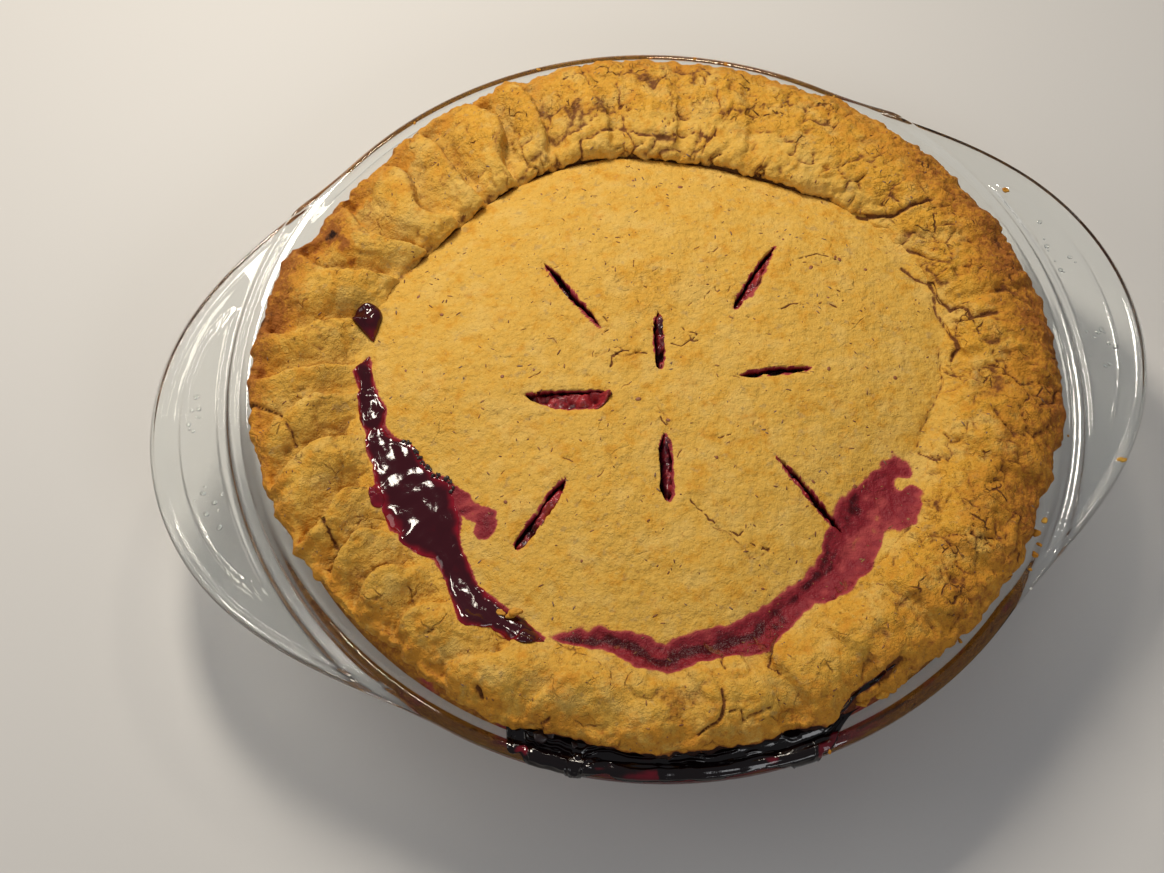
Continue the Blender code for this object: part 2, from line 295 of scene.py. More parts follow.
def dish_tree():
    tree, entry, leave = new_geometry_tree("turned_dish", {
        "Columns": ("NodeSocketInt", 360), "Rim radius": (NUMBER, 0.1), "Reach": (NUMBER, 0.1),
        "Tab arc": (NUMBER, 0.1), "Blend": (NUMBER, 0.01), "Ridge radius": (NUMBER, 0.1),
        "Tab level": (NUMBER, 0.0), "Rim height": (NUMBER, 0.0), "Loop inner": (NUMBER, 0.1),
        "Loop outer": (NUMBER, 0.1), "Loop half angle": (NUMBER, 0.3), "Loop relief": (NUMBER, 0.001),
        "Material": ("NodeSocketMaterial", None)})

    def given(name):
        return Flow(tree, entry.outputs[name])

    profile = entry.outputs["Geometry"]
    rows = add_node(tree, "GeometryNodeAttributeDomainSize", {"Geometry": profile}).outputs["Point Count"]
    columns = given("Columns")
    grid = add_node(tree, "GeometryNodeMeshGrid", {"Vertices X": rows, "Vertices Y": columns + 1.0})
    index = Flow(tree, add_node(tree, "GeometryNodeInputIndex").outputs[0])
    row = (index / (columns + 1.0) + 0.0001).apply("FLOOR")
    column = index - row * (columns + 1.0)

    def sample(source, kind):
        inputs = {"Geometry": profile, "Value": source, "Index": row}
        return add_node(tree, "GeometryNodeSampleIndex", inputs, data_type=kind, domain="POINT").outputs[0]

    place = sample(add_node(tree, "GeometryNodeInputPosition").outputs[0], "FLOAT_VECTOR")
    parts = add_node(tree, "ShaderNodeSeparateXYZ", {"Vector": place})
    radius, height = Flow(tree, parts.outputs["X"]), Flow(tree, parts.outputs["Z"])
    stored = add_node(tree, "GeometryNodeInputNamedAttribute", {"Name": "tab_share"}, data_type="FLOAT")
    share = Flow(tree, sample(stored.outputs[0], "FLOAT"))

    angle = column / columns * (2 * math.pi)
    turn = angle.apply("SINE").apply("ARCSINE")
    centre = given("Reach") - given("Tab arc")
    sideways = centre * turn.apply("SINE")
    bow = (given("Tab arc") * given("Tab arc") - sideways * sideways).apply("SQRT")
    tab = centre * turn.apply("COSINE") + bow
    near = (given("Blend") - (tab - given("Rim radius")).apply("ABSOLUTE")).apply("MAXIMUM", 0.0)
    reach = tab.apply("MAXIMUM", given("Rim radius")) + near * near / (given("Blend") * 4.0)
    radius = radius + share * (reach - given("Rim radius"))

    on_top = height.ramp(given("Rim height") - 0.0002, given("Rim height") - 0.0001, smooth=False)
    inward = reach - radius
    crown_fall = share * share * -0.0011
    off_middle = turn / given("Loop half angle")
    width = (1.0 - off_middle * off_middle).apply("MAXIMUM", 0.0)
    outer = given("Loop inner") + (given("Loop outer") - given("Loop inner")) * width.apply("SQRT")
    wire_in = (radius - given("Loop inner")).apply("ABSOLUTE").ramp(0.0, 0.0011, 1.0, 0.0)
    wire_out = (radius - outer).apply("ABSOLUTE").ramp(0.0, 0.0009, 1.0, 0.0)
    plateau = radius.ramp(given("Loop inner") - 0.0006, given("Loop inner"))
    plateau = plateau * radius.ramp(outer, outer + 0.0006, 1.0, 0.0) * 0.55
    loop = (plateau + (wire_in + wire_out) * 0.45) * width.ramp(0.0, 0.06) * given("Loop relief")
    step = radius.ramp(given("Ridge radius") + 0.0006, given("Ridge radius") + 0.0019, 1.0, 0.0)
    ridge = (radius - given("Ridge radius")).apply("ABSOLUTE").ramp(0.0, 0.0010, 0.0005, 0.0)
    dip = (radius - (given("Ridge radius") - 0.0023)).apply("ABSOLUTE").ramp(0.0, 0.0009, -0.0004, 0.0)
    bead = (inward - 0.0027).apply("ABSOLUTE").ramp(0.0, 0.0009, 0.00055, 0.0)
    lift = inward.ramp(0.0012, 0.0024, 0.0003, 0.0) + inward.ramp(0.0, 0.0009, -0.0009, 0.0)
    tab_height = given("Tab level") + (given("Rim height") - given("Tab level")) * step + loop + ridge + dip
    tab_height = tab_height + bead + lift - given("Rim height")
    tabbed = reach.ramp(given("Rim radius") + 0.001, given("Rim radius") + 0.005)
    height = height + on_top * (crown_fall + tabbed * share.ramp(0.0, 0.04) * (tab_height - crown_fall))

    target = add_node(tree, "ShaderNodeCombineXYZ", {
        "X": radius * angle.apply("COSINE"), "Y": radius * angle.apply("SINE"), "Z": height})
    moved = add_node(tree, "GeometryNodeSetPosition",
                     {"Geometry": grid.outputs["Mesh"], "Position": target.outputs[0]})
    closed = add_node(tree, "GeometryNodeMergeByDistance",
                      {"Geometry": moved.outputs[0], "Distance": 0.000001})
    end_tree(tree, leave, closed.outputs[0], entry.outputs["Material"])
    return tree


# %% [markdown]
# A modifier's inputs are set by each socket's identifier. The finished shape is then read
# from the evaluated object into a plain mesh, and the modifier and its helper object go.


# %% From a tree to a plain piece
def set_inputs(modifier, tree, values):
    """Set a Geometry Nodes modifier's named inputs."""
    names = {item.name: item.identifier for item in tree.interface.items_tree if item.in_out == "INPUT"}
    for name, value in values.items():
        modifier[names[name]] = value


def grow(name, source, tree, values):
    """Run a tree on a mesh, and return the result as a plain piece."""
    helper = link_object(name + "_helper", source)
    modifier = helper.modifiers.new("tree", "NODES")
    modifier.node_group = tree
    set_inputs(modifier, tree, values)
    graph = bpy.context.evaluated_depsgraph_get()
    mesh = bpy.data.meshes.new_from_object(helper.evaluated_get(graph))
    mesh.name = name
    bpy.data.objects.remove(helper)
    return link_object(name, mesh)


def count_triangles(piece):
    piece.data.calc_loop_triangles()
    return len(piece.data.loop_triangles)


def face_outwards(piece):
    """Turn every face of a closed piece to the outside."""
    build = bmesh.new()
    build.from_mesh(piece.data)
    bmesh.ops.recalc_face_normals(build, faces=build.faces)
    build.to_mesh(piece.data)
    build.free()


# %% Glass
def add_bump(tree, shader, height, strength, distance):
    """Let a height drive the shader's normal."""
    bump = add_node(tree, "ShaderNodeBump", {"Height": height, "Strength": strength, "Distance": distance})
    feed(tree, shader.inputs["Normal"], bump.outputs["Normal"])


def principled(name, **values):
    """New material; returns it with its node tree and shader."""
    material = bpy.data.materials.new(name)
    material.use_nodes = True
    shader = material.node_tree.nodes["Principled BSDF"]
    for label, value in values.items():
        feed(material.node_tree, shader.inputs[label.replace("_", " ")], value)
    return material, material.node_tree, shader


def pressed_glass():
    """Clear soda glass with a slight green cast and the soft waves that a mould leaves."""
    material, tree, shader = principled("pressed_glass", Base_Color=(0.965, 0.995, 0.985, 1), Roughness=0.02,
                                        IOR=1.5, Transmission_Weight=1.0)
    place = add_node(tree, "ShaderNodeTexCoord").outputs["Object"]
    waves = add_node(tree, "ShaderNodeTexNoise", {"Vector": place, "Scale": 55.0, "Detail": 1.0})
    add_bump(tree, shader, waves.outputs["Fac"], 0.25, 0.0006)
    return material


glass = pressed_glass()
print("the glass has", len(glass.node_tree.nodes), "nodes")


# %% Make the dish
def profile_mesh(rows):
    """Wire mesh of the profile, with each point's share of the tab's reach stored on it."""
    mesh = bpy.data.meshes.new("dish_profile")
    points = [(radius * MM, 0, height * MM) for radius, height, _ in rows]
    mesh.from_pydata(points, [(i, i + 1) for i in range(len(rows) - 1)], [])
    shares = mesh.attributes.new("tab_share", "FLOAT", "POINT")
    shares.data.foreach_set("value", [share for _, _, share in rows])
    return mesh


dish = grow("glass_dish", profile_mesh(dish_profile()), dish_tree(), {
    "Columns": 360, "Rim radius": RIM_RADIUS * MM, "Reach": REACH * MM, "Tab arc": 79.5 * MM,
    "Blend": 18 * MM, "Ridge radius": 123.7 * MM, "Tab level": 42.3 * MM, "Rim height": RIM_HEIGHT * MM,
    "Loop inner": 127.2 * MM, "Loop outer": 138.4 * MM, "Loop half angle": math.radians(20.5),
    "Loop relief": 1.1 * MM, "Material": glass})
face_outwards(dish)
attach(dish, BODY)
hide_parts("dish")
print(f"glass dish: {count_triangles(dish)} triangles, {2 * REACH:.0f} mm over the tabs")

# %% [markdown]
# ## Pastry: how the shape is worked out
#
# Hand-crimped pastry has no exact shape, but it has rules. A cook's finger leaves a flute
# every 10 degrees or so, deep on the left of this pie and faint on the right. At the back
# the border is a thick roll that leans over the lid. Where the juice boiled over, the crimp
# sank into a channel.
#
# A sculptor would push this in by hand. Here numpy does it: a smooth base surface comes from
# a few radii around the pie, then noise of several sizes, slabs and cracks are added to it.
# Arrays keep this fast, so the surface can have a point about every two thirds of a
# millimetre, and closer ones at hair-thin cracks. Real cracks need that: a bump map alone
# would vanish at the outline and in the exported shape.

# %% Curves around the pie
TURN = 360.0


def around(values, angle):
    """Smooth closed curve through values set at equal angles from the right handle."""
    values = np.asarray(values, float)
    place = np.asarray(angle) / TURN % 1.0 * len(values)
    start = np.floor(place).astype(int)
    share = place - start
    before, first, second, after = (values[(start + step) % len(values)] for step in (-1, 0, 1, 2))
    bend = 2 * before - 5 * first + 4 * second - after
    twist = 3 * (first - second) + after - before
    return first + 0.5 * share * (second - before + share * (bend + share * twist))


def through(guides, count):
    """Smooth line of count points through guide points, which lie along the last axis."""
    last = guides.shape[-1] - 1
    place = np.linspace(0, last, count)
    start = np.minimum(place.astype(int), last - 1)
    share = place - start
    before, first, second, after = (guides[..., np.clip(start + step, 0, last)] for step in (-1, 0, 1, 2))
    bend = 2 * before - 5 * first + 4 * second - after
    twist = 3 * (first - second) + after - before
    return first + 0.5 * share * (second - before + share * (bend + share * twist))


def spot(radius, angle):
    """Place of one (radius, angle) corner, seen from above."""
    return radius * math.cos(math.radians(angle)), radius * math.sin(math.radians(angle))


def on_circle(radius, angle, height):
    """Points from arrays of radius, angle and height."""
    radians = np.radians(angle)
    return np.stack([radius * np.cos(radians), radius * np.sin(radians), height], -1)


def smooth_step(low, high, value):
    share = np.clip((value - low) / (high - low), 0, 1)
    return share * share * (3 - 2 * share)


def mix(first, second, share):
    return first + (second - first) * share


def apart(angle, middle):
    """Signed difference of two angles, -180 to 180."""
    return (angle - middle + 180) % TURN - 180


# %% Noise, slabs and cracks
def random_at(cell, seed):
    """Repeatable number from -1 to 1 for each whole-numbered cell."""
    mixed = cell[..., 0] * 73856093 ^ cell[..., 1] * 19349663 ^ cell[..., 2] * 83492791 ^ seed * 26544357
    mixed = (mixed ^ (mixed >> 13)) * 1274126177
    return ((mixed ^ (mixed >> 16)) & 0xFFFF) / 32767.5 - 1


def noise(points, size, seed):
    """Soft lumps about size millimetres across, from -1 to 1."""
    place = points / size
    base = np.floor(place).astype(np.int64)
    share = place - base
    share = share * share * (3 - 2 * share)
    total = 0
    for corner in itertools.product((0, 1), repeat=3):
        weight = np.prod(np.where(corner, share, 1 - share), axis=-1)
        total = total + weight * random_at(base + np.array(corner), seed)
    return total


def sideways_noise(points, size, seed):
    """Noise for x and for y, with nothing for z, to push points about with."""
    return np.stack([noise(points, size, seed), noise(points, size, seed + 1), 0 * points[..., 0]], -1)


def rough(points, size, seed):
    """Lumps with finer lumps on them, in three sizes."""
    return sum(noise(points, size / 2.1 ** step, seed + step) / 1.9 ** step for step in range(3)) / 1.6


def slabs(points, size, seed):
    """Broken plates: a random level for each plate, and the distance to the plate's edge."""
    flat = points / size
    base = np.floor(flat).astype(np.int64)
    base[..., 2] = 0
    near = np.full(points.shape[:-1], 9.0)
    next_near = near.copy()
    level = np.zeros_like(near)
    for step_x, step_y in itertools.product((-1, 0, 1), repeat=2):
        cell = base + np.array((step_x, step_y, 0))
        seat_x = cell[..., 0] + 0.5 + 0.42 * random_at(cell, seed)
        seat_y = cell[..., 1] + 0.5 + 0.42 * random_at(cell, seed + 7)
        away = np.hypot(flat[..., 0] - seat_x, flat[..., 1] - seat_y)
        closer = away < near
        next_near = np.where(closer, near, np.minimum(next_near, away))
        level = np.where(closer, random_at(cell, seed + 13), level)
        near = np.where(closer, away, near)
    return level, (next_near - near) * size / 2


def tears(points, size, width, seed):
    """Wandering cracks between lumps of about size millimetres, and a step up across each crack."""
    bend = sideways_noise(points, size * 0.6, seed + 1)
    field = noise(points + 0.3 * size * bend, size, seed)
    here = smooth_step(-0.05, 0.35, noise(points, size * 1.7, seed + 3))
    return here * np.exp(-(field * size / 2.5 / width) ** 2), here * np.tanh(field * size / 1.2)


def from_line(points, line):
    """Distance of each point, seen from above, to a bent line of (radius, angle) corners."""
    corners = [spot(radius, angle) for radius, angle in line]
    best = np.full(points.shape[:-1], 1e9)
    for start, end in zip(corners, corners[1:]):
        start, run = np.array(start), np.array(end) - np.array(start)
        offset = points[..., :2] - start
        share = np.clip(offset @ run / max(run @ run, 1e-9), 0, 1)
        best = np.minimum(best, np.linalg.norm(offset - share[..., None] * run, axis=-1))
    return best


def polar(points):
    """Radius and angle of each point."""
    x, y = points[..., 0], points[..., 1]
    return np.hypot(x, y), np.degrees(np.arctan2(y, x)) % TURN


print("one noise value:", round(float(noise(np.array([[1.5, 2.5, 3.5]]), 4.0, 1)[0]), 3))

# %% [markdown]
# ### The pie's own sizes
#
# The border's foot and the lid's edge have a radius every 22.5 degrees, starting at the
# right handle and going round by the far side, with a smooth curve between them. The outer
# edge is more ragged, so it is listed as (angle, radius) wherever it turns. A flute is an
# angle and a share of the full depth. Cracks are listed by their width and the corners they
# pass through, as (radius, angle).

# %% Radii, flutes and cracks
EDGE = ((0, 117.9), (4, 116.0), (11, 117.0), (22, 115.8), (45, 114.6), (67, 113.6), (83, 114.3),
        (91, 115.2), (98.5, 112.4), (101, 115.0), (109, 112.6), (120, 113.2), (126, 110.6), (134, 111.2),
        (138, 113.6), (146, 112.2), (148.5, 117.2), (157, 117.9), (160, 116.8), (175, 118.0),
        (188, 116.6), (202, 114.4), (219, 111.6), (229, 113.4), (237, 114.5), (244, 112.4), (256, 114.6),
        (265, 113.4), (270, 113.8), (276, 112.8), (280, 115.0), (284, 113.0), (300, 114.4), (315, 115.3),
        (326, 115.0), (338, 117.2), (349, 117.9), (360, 117.9))
BORDER_FOOT = (85.5, 83.0, 74.5, 71.8, 74.0, 74.8, 76.0, 83.0, 85.5, 88.5, 93.0, 90.5, 91.0, 86.5, 85.0, 82.0)
LID_EDGE = (84.0, 80.5, 73.0, 70.5, 72.5, 73.2, 74.0, 80.5, 79.5, 75.5, 83.0, 84.5, 84.5, 76.5, 71.5, 79.0)
WIDEST = 118.2
GROOVE_RISE = 7.5
FLUTE_DEPTH = 5.6
FLUTES = ((101, 0.7), (110.5, 1.0), (121, 1.0), (129, 0.9), (139, 1.0), (149, 1.0), (160.5, 1.0),
          (169.5, 0.8), (177, 0.6), (186, 0.9), (196.5, 1.0), (205, 0.9), (212, 0.8), (220, 0.8),
          (230, 0.6), (241, 0.4), (251, 0.3), (262, 0.4), (276, 0.5), (288, 0.3), (301, 0.3), (313, 0.2),
          (330, 0.25), (347, 0.3), (2, 0.3), (14, 0.2), (58, 0.25), (73, 0.25), (88, 0.35))
CRACKS = ((1.1, ((80, 27), (85, 23), (90, 22), (100, 21))),
          (1.1, ((80, 11), (82, 8), (86, 6), (86, 2), (88, 359), (91, 359), (93, 356), (100, 356))),
          (0.9, ((74, 95), (78, 95), (81, 86), (78, 82), (76, 75), (77, 72), (79, 69), (77, 65), (81, 64))),
          (0.7, ((94, 97), (93, 92), (92, 87), (89, 84), (87, 82))),
          (0.7, ((88, 86), (85, 91), (82, 95), (81, 99))),
          (0.6, ((85, 57), (86, 54), (85, 51))),
          (0.7, ((87, 37), (91, 36), (95, 35), (94, 32))),
          (0.6, ((105, 26), (114, 26))),
          (0.9, ((84.3, 3), (84, 358), (85, 356), (86, 353), (86.6, 351.6), (87.2, 350), (85.4, 348))),
          (0.6, ((81.7, 351), (81.7, 348.6), (82, 345), (81.5, 342), (80.5, 339), (79, 335), (77.5, 332),
                 (78, 327))),
          (0.6, ((90.7, 339.4), (90, 336.5), (89, 333.7), (88.7, 330.7), (86, 330), (84, 331.4))),
          (0.9, ((95, 346.6), (98, 346), (101.5, 344.5), (103.3, 343.3), (107.6, 344.3))),
          (0.9, ((109, 340), (114, 342), (116, 344))),
          (0.8, ((79, 326), (85, 326))),
          (0.6, ((100, 313), (103, 312))),
          (1.5, ((110, 293), (111, 290), (111, 286), (114, 283))),
          (0.8, ((90, 278), (93, 276), (97, 275), (100, 276))),
          (0.7, ((87, 266), (91, 268), (95, 268))),
          (0.9, ((101, 267), (104, 267), (107, 266), (109, 265), (111, 263))),
          (0.6, ((107, 267), (107, 269), (110, 269), (108, 273))),
          (0.6, ((105, 260), (108, 261))),
          (0.6, ((106, 222), (103, 223))),
          (0.6, ((98, 215), (100, 218))),
          (0.9, ((105, 198), (106, 203), (109, 204))),
          (0.8, ((118, 175), (109, 178), (105, 184))),
          (1.0, ((110.2, 232.4), (111.0, 233.3))),
          (0.8, ((66.4, 283.0), (67.6, 283.6))),
          (0.7, ((114.6, 242.6), (111.5, 242.0), (110.0, 243.0))),
          (0.5, ((57, 273), (61, 276), (65, 278), (68, 279), (68, 283))),
          (0.4, ((18, 182), (13, 183), (10, 194), (6, 198))),
          (0.4, ((20, 257), (23, 262), (27, 264))))


def flute_valley(angle):
    """0 on a flute's crest, 1 at the bottom of the valley; steep on one side, gentle on the other."""
    depth = np.zeros_like(angle)
    for middle, share in FLUTES:
        off = apart(angle, middle)
        shape = smooth_step(-8.5, -0.4, off) ** 2.0 * (1 - smooth_step(-0.1, 1.5, off))
        depth = np.maximum(depth, share * shape)
    return depth


def flute_crease(angle):
    """Narrow fold at the bottom of each flute; the colour also paints it dark as shade."""
    crease = np.zeros_like(angle)
    for middle, share in FLUTES:
        strength = smooth_step(0.35, 0.95, share)
        crease = np.maximum(crease, strength * np.exp(-((apart(angle, middle) - 0.3) / 0.55) ** 2))
    return crease


def flute_angle(points, across):
    """Angle at which to read the flutes: they slant and wander on their way from the edge to the foot."""
    _, angle = polar(points)
    level = points * np.array((1, 1, 0))
    return (angle + 2.0 * np.sin(across * 4.0 + angle / 17.0) + 1.6 * noise(level, 15.0, 8)) % TURN


def by_angle(pairs, angle):
    """Read a radius off a list of (angle, radius)."""
    return np.interp(angle, *zip(*pairs))


def edge_radius(angle):
    """Outer edge of the pastry, ragged and drawn in a little at each flute."""
    ring = on_circle(115, angle, np.zeros_like(angle))
    ragged = 0.8 * noise(ring, 7.0, 3) + 0.8 * noise(ring, 3.1, 4) + 0.35 * noise(ring, 1.3, 5)
    return np.minimum(by_angle(EDGE, angle) + ragged - 0.6 * flute_valley(angle), WIDEST)


print(f"{len(FLUTES)} flutes and {len(CRACKS)} listed cracks")


# %% [markdown]
# ### The border
#
# The border is a closed ring. Its cross-section is a line through thirteen guide points,
# given as a share of the way from the outer edge (0) to the foot (1) and a height above the
# rim. There is one set for the ordinary crimp and one for the thick roll at the back, and
# the angle decides how much of each is used. The last guides run back underneath, where the
# border sits on the base, so the ring closes. The relief then pushes each point along its
# own normal. The lid's hair-thin cracks are worked out here too: a few are listed, and many
# short ones are drawn by lot with a fixed seed.

# %% Border shape
CRIMP = ((0.00, 0.9), (-0.01, 2.6), (0.05, 5.4), (0.18, 8.6), (0.38, 11.0), (0.58, 12.0), (0.77, 11.0),
         (0.90, 9.2), (0.985, 7.8), (1.02, 6.4), (0.90, 3.0), (0.45, -2.0), (0.10, -2.6))
ROLL = ((0.00, 0.9), (-0.01, 2.8), (0.05, 5.6), (0.18, 8.8), (0.38, 11.2), (0.60, 12.8), (0.82, 13.4),
        (0.97, 12.4), (1.03, 10.0), (0.99, 6.6), (0.85, 3.0), (0.45, -2.0), (0.10, -2.6))
BORDER_COLUMNS = 1120
BORDER_ROWS = 84
TOP_ROWS = 66


def at_the_back(angle):
    return smooth_step(0.30, 0.75, np.sin(np.radians(angle)))


def grid_normals(points):
    """Outward direction at each point of a grid that closes in both directions."""
    along = np.roll(points, -1, 0) - np.roll(points, 1, 0)
    across = np.roll(points, -1, 1) - np.roll(points, 1, 1)
    normal = np.cross(along, across)
    return normal / np.maximum(np.linalg.norm(normal, axis=-1, keepdims=True), 1e-9)


def flaky(angle):
    """How broken the pastry is: most at the far right, least on the left."""
    return 0.35 + 0.65 * smooth_step(115, 70, np.abs(apart(angle, 25)))


def crack_depths(points):
    """Depth of the listed cracks at each point, 0 to 1, with wandering edges."""
    wander = points + sideways_noise(points, 3.0, 31) * 0.8
    depth = np.zeros(points.shape[:-1])
    for width, line in CRACKS:
        share = min(width + 0.2, 1.2) / 1.2
        depth = np.maximum(depth, share * np.exp(-(from_line(wander, line) / (0.6 * width)) ** 2))
    return depth


HAIRLINES = (((9, 21), (10, 351), (13, 353), (15.5, 348)), ((10, 353), (7, 337), (4, 343)),
             ((8, 15), (11.5, 3), (10, 351)), ((13, 190), (10, 185), (7, 198), (4.5, 220)),
             ((16, 202), (13.5, 189), (10, 185)), ((49, 268), (51.5, 270), (55, 272), (57.5, 274)),
             ((57.5, 274), (60, 277.5), (61.5, 278), (61, 280)), ((64, 280), (66.5, 282), (67.5, 284)),
             ((38, 7), (42, 8), (47, 5), (52, 5.5), (54, 3.5)), ((56.5, 9), (58.5, 7), (56.5, 5)),
             ((21.5, 258), (25, 260), (27.5, 265)), ((31, 283), (34, 287), (35, 293)),
             ((52.5, 24), (58, 23), (60.5, 20.5), (63, 17.5)), ((18, 138), (14, 148), (15, 157)))
STRAY_CRACKS = 70


def stray_cracks():
    """More short cracks like the listed ones, at places drawn by lot."""
    chance = np.random.default_rng(8)
    lines = []
    for _ in range(STRAY_CRACKS):
        place = chance.normal((4, 6), (30, 26))
        heading = chance.uniform(-35, 35) + 180 * chance.integers(0, 2)
        corners = [place]
        for _ in range(chance.integers(1, 3)):
            heading += chance.uniform(-60, 60)
            step = chance.uniform(0.8, 2.2)
            ahead = math.radians(heading)
            place = place + step * np.array((math.cos(ahead), math.sin(ahead)))
            corners.append(place)
        lines.append([(math.hypot(x, y), math.degrees(math.atan2(y, x))) for x, y in corners])
    return lines


def hairlines(points):
    """0 to 1 on the lid's hair-thin cracks, which waver and are broken here and there."""
    moved = points + 0.35 * sideways_noise(points, 1.5, 81)
    depth = np.zeros(points.shape[:-1])
    for share, lines in ((1.0, HAIRLINES), (0.58, stray_cracks())):
        for line in lines:
            depth = np.maximum(depth, share * np.exp(-(from_line(moved, line) / 0.20) ** 2))
    return depth * smooth_step(-0.25, 0.05, noise(points, 1.5, 83))


def surface_relief(points):
    """Height added to smooth pastry everywhere: swells, lumps, grain."""
    return (0.35 * rough(points, 11.0, 40) + 0.34 * rough(points, 4.5, 50) + 0.20 * noise(points, 1.8, 60)
            + 0.12 * noise(points, 1.0, 61))


def border_points():
    angle = np.arange(BORDER_COLUMNS) * TURN / BORDER_COLUMNS
    back = at_the_back(angle)[:, None]
    guides = mix(np.array(CRIMP), np.array(ROLL), back[..., None])
    edge, foot = edge_radius(angle)[:, None], around(BORDER_FOOT, angle)[:, None]
    radius = edge + (foot - edge) * guides[..., 0]
    share, height = through(guides[..., 0], BORDER_ROWS), through(guides[..., 1], BORDER_ROWS)
    radius = through(radius, BORDER_ROWS)
    across = np.clip(share, 0, 1)
    flat = on_circle(radius, angle[:, None], 0 * radius)
    bent = flute_angle(flat, across)
    reach = smooth_step(0.0, 0.14, across) * (1 - smooth_step(0.80, 1.0, across) * mix(0.75, 0.35, back))
    sink = FLUTE_DEPTH * flute_valley(bent) + flute_crease(bent)
    height = height - sink * reach * (height > 2)
    return flat + np.stack([0 * height, 0 * height, height + RIM_HEIGHT], -1), across


def add_border_relief(points, across):
    """Slabs, cracks and grain, pushed along the surface's own normal."""
    normal = grid_normals(points)
    if normal[0, TOP_ROWS // 2, 2] < 0:
        normal = -normal
    angle = polar(points)[1]
    warped = points + 2.2 * sideways_noise(points, 7.0, 21)
    level, gap = slabs(warped, 9.0, 9)
    fine_level, fine_gap = slabs(warped + 40, 4.2, 17)
    broken = flaky(angle) * smooth_step(0.0, 0.15, across)
    split = smooth_step(0.0, 0.4, noise(points, 8.0, 23)) * np.exp(-(gap / 0.40) ** 2)
    fine_split = smooth_step(0.1, 0.5, noise(points, 5.0, 24)) * np.exp(-(fine_gap / 0.32) ** 2)
    cracks = np.maximum(np.maximum(split * 0.7, fine_split * 0.55) * broken, crack_depths(points))
    short_cracks, short_steps = tears(points, 6.0, 0.34, 33)
    inside = smooth_step(0.0, 0.08, across)
    cracks = np.maximum(cracks, inside * short_cracks * (0.30 + 0.35 * broken))
    push = broken * (0.34 * level + 0.26 * fine_level) * np.minimum(smooth_step(0, 1.0, fine_gap) + 0.4, 1)
    push = push + 0.28 * short_steps * (0.5 + broken)
    torn = 1 - 2 * np.abs(noise(points + 1.2 * noise(points, 2.4, 38)[..., None], 2.9, 39))
    push = push + surface_relief(points) + 0.7 * rough(points, 9.0, 37) - 1.5 * cracks
    push = push + (0.34 * torn + 0.26 * noise(points, 1.25, 36)) * (0.35 + 0.75 * broken)
    push = push + 0.5 * noise(points * np.array((1, 1, 2.6)), 2.2, 25) * (1 - smooth_step(0.0, 0.10, across))
    visible = (points[..., 2] > RIM_HEIGHT + 1.5)
    return points + normal * (push * visible)[..., None], cracks


def ring_faces(columns, rows):
    """Quads of a grid that closes both ways."""
    column, row = np.meshgrid(np.arange(columns), np.arange(rows), indexing="ij")
    beside, below = (column + 1) % columns, (row + 1) % rows
    return np.stack([column * rows + row, beside * rows + row, beside * rows + below, column * rows + below],
                    -1).reshape(-1, 4)


def make_piece(name, points, faces, material):
    """Mesh object from points in millimetres."""
    mesh = bpy.data.meshes.new(name)
    mesh.from_pydata(points.reshape(-1, 3) * MM, [], faces)
    mesh.materials.append(material)
    mesh.shade_smooth()
    piece = link_object(name, mesh)
    face_outwards(piece)
    return piece


def store(piece, name, values):
    """Keep one number per vertex for the material to read."""
    layer = piece.data.attributes.get(name) or piece.data.attributes.new(name, "FLOAT", "POINT")
    layer.data.foreach_set("value", np.asarray(values, np.float32).ravel())


def vertices(piece):
    """Vertex places in millimetres."""
    flat = np.empty(len(piece.data.vertices) * 3, np.float32)
    piece.data.vertices.foreach_get("co", flat)
    return flat.reshape(-1, 3).astype(float) / MM


# %% [markdown]
# ## Pastry finish
#
# Baked wholemeal pastry is golden where it is thin and proud, paler in random patches,
# orange-brown at the edge and freckled with bran. Juice dyes it pink where it soaked in.
# The large areas come from numbers stored on the vertices: how browned, how soaked, how
# deep in a flute valley, how flaky and how deep in a crack or fold each spot is. Flute
# valleys, cracks, folds, split lines and small pits are darkened as painted shade; on the
# bottom crust the browning, and along the lid's edge the stain, hold painted shade too.
# Noise on Object coordinates adds what is finer than the mesh.

# %% Pastry material
def blend_colours(tree, share, first, second):
    """Mix two colours (sockets or fixed) by a flowing share."""
    return add_node(tree, "ShaderNodeMix", {0: share, 6: first, 7: second}, data_type="RGBA").outputs[2]


def noise_at(tree, place, size, detail=2.0, roughness=0.5):
    """Noise with lumps of about size millimetres, 0 to 1."""
    node = add_node(tree, "ShaderNodeTexNoise", {
        "Vector": place, "Scale": 1000.0 / size / 2, "Detail": detail, "Roughness": roughness})
    return Flow(tree, node.outputs["Fac"])


def stored(tree, name):
    return Flow(tree, add_node(tree, "ShaderNodeAttribute", attribute_name=name).outputs["Fac"])


GOLDEN = (0.68, 0.395, 0.066, 1)
PALE = (0.71, 0.45, 0.108, 1)
AMBER = (0.66, 0.325, 0.027, 1)
TOASTED = (0.56, 0.235, 0.020, 1)
BROWN = (0.30, 0.092, 0.014, 1)
CHAR = (0.020, 0.006, 0.004, 1)
GREY_TAN = (0.36, 0.24, 0.105, 1)
# Painted shade: the next colour darkens the flute valleys, where shade falls.
VALLEY_SHADE_OLIVE = (0.42, 0.255, 0.055, 1)
ROSE = (0.37, 0.050, 0.052, 1)
PINK = (0.23, 0.013, 0.022, 1)
BURGUNDY = (0.060, 0.002, 0.005, 1)
# Painted shade: the next colour darkens cracks, split lines and folds, where shade falls.
CRACK_SHADE = (0.13, 0.036, 0.009, 1)


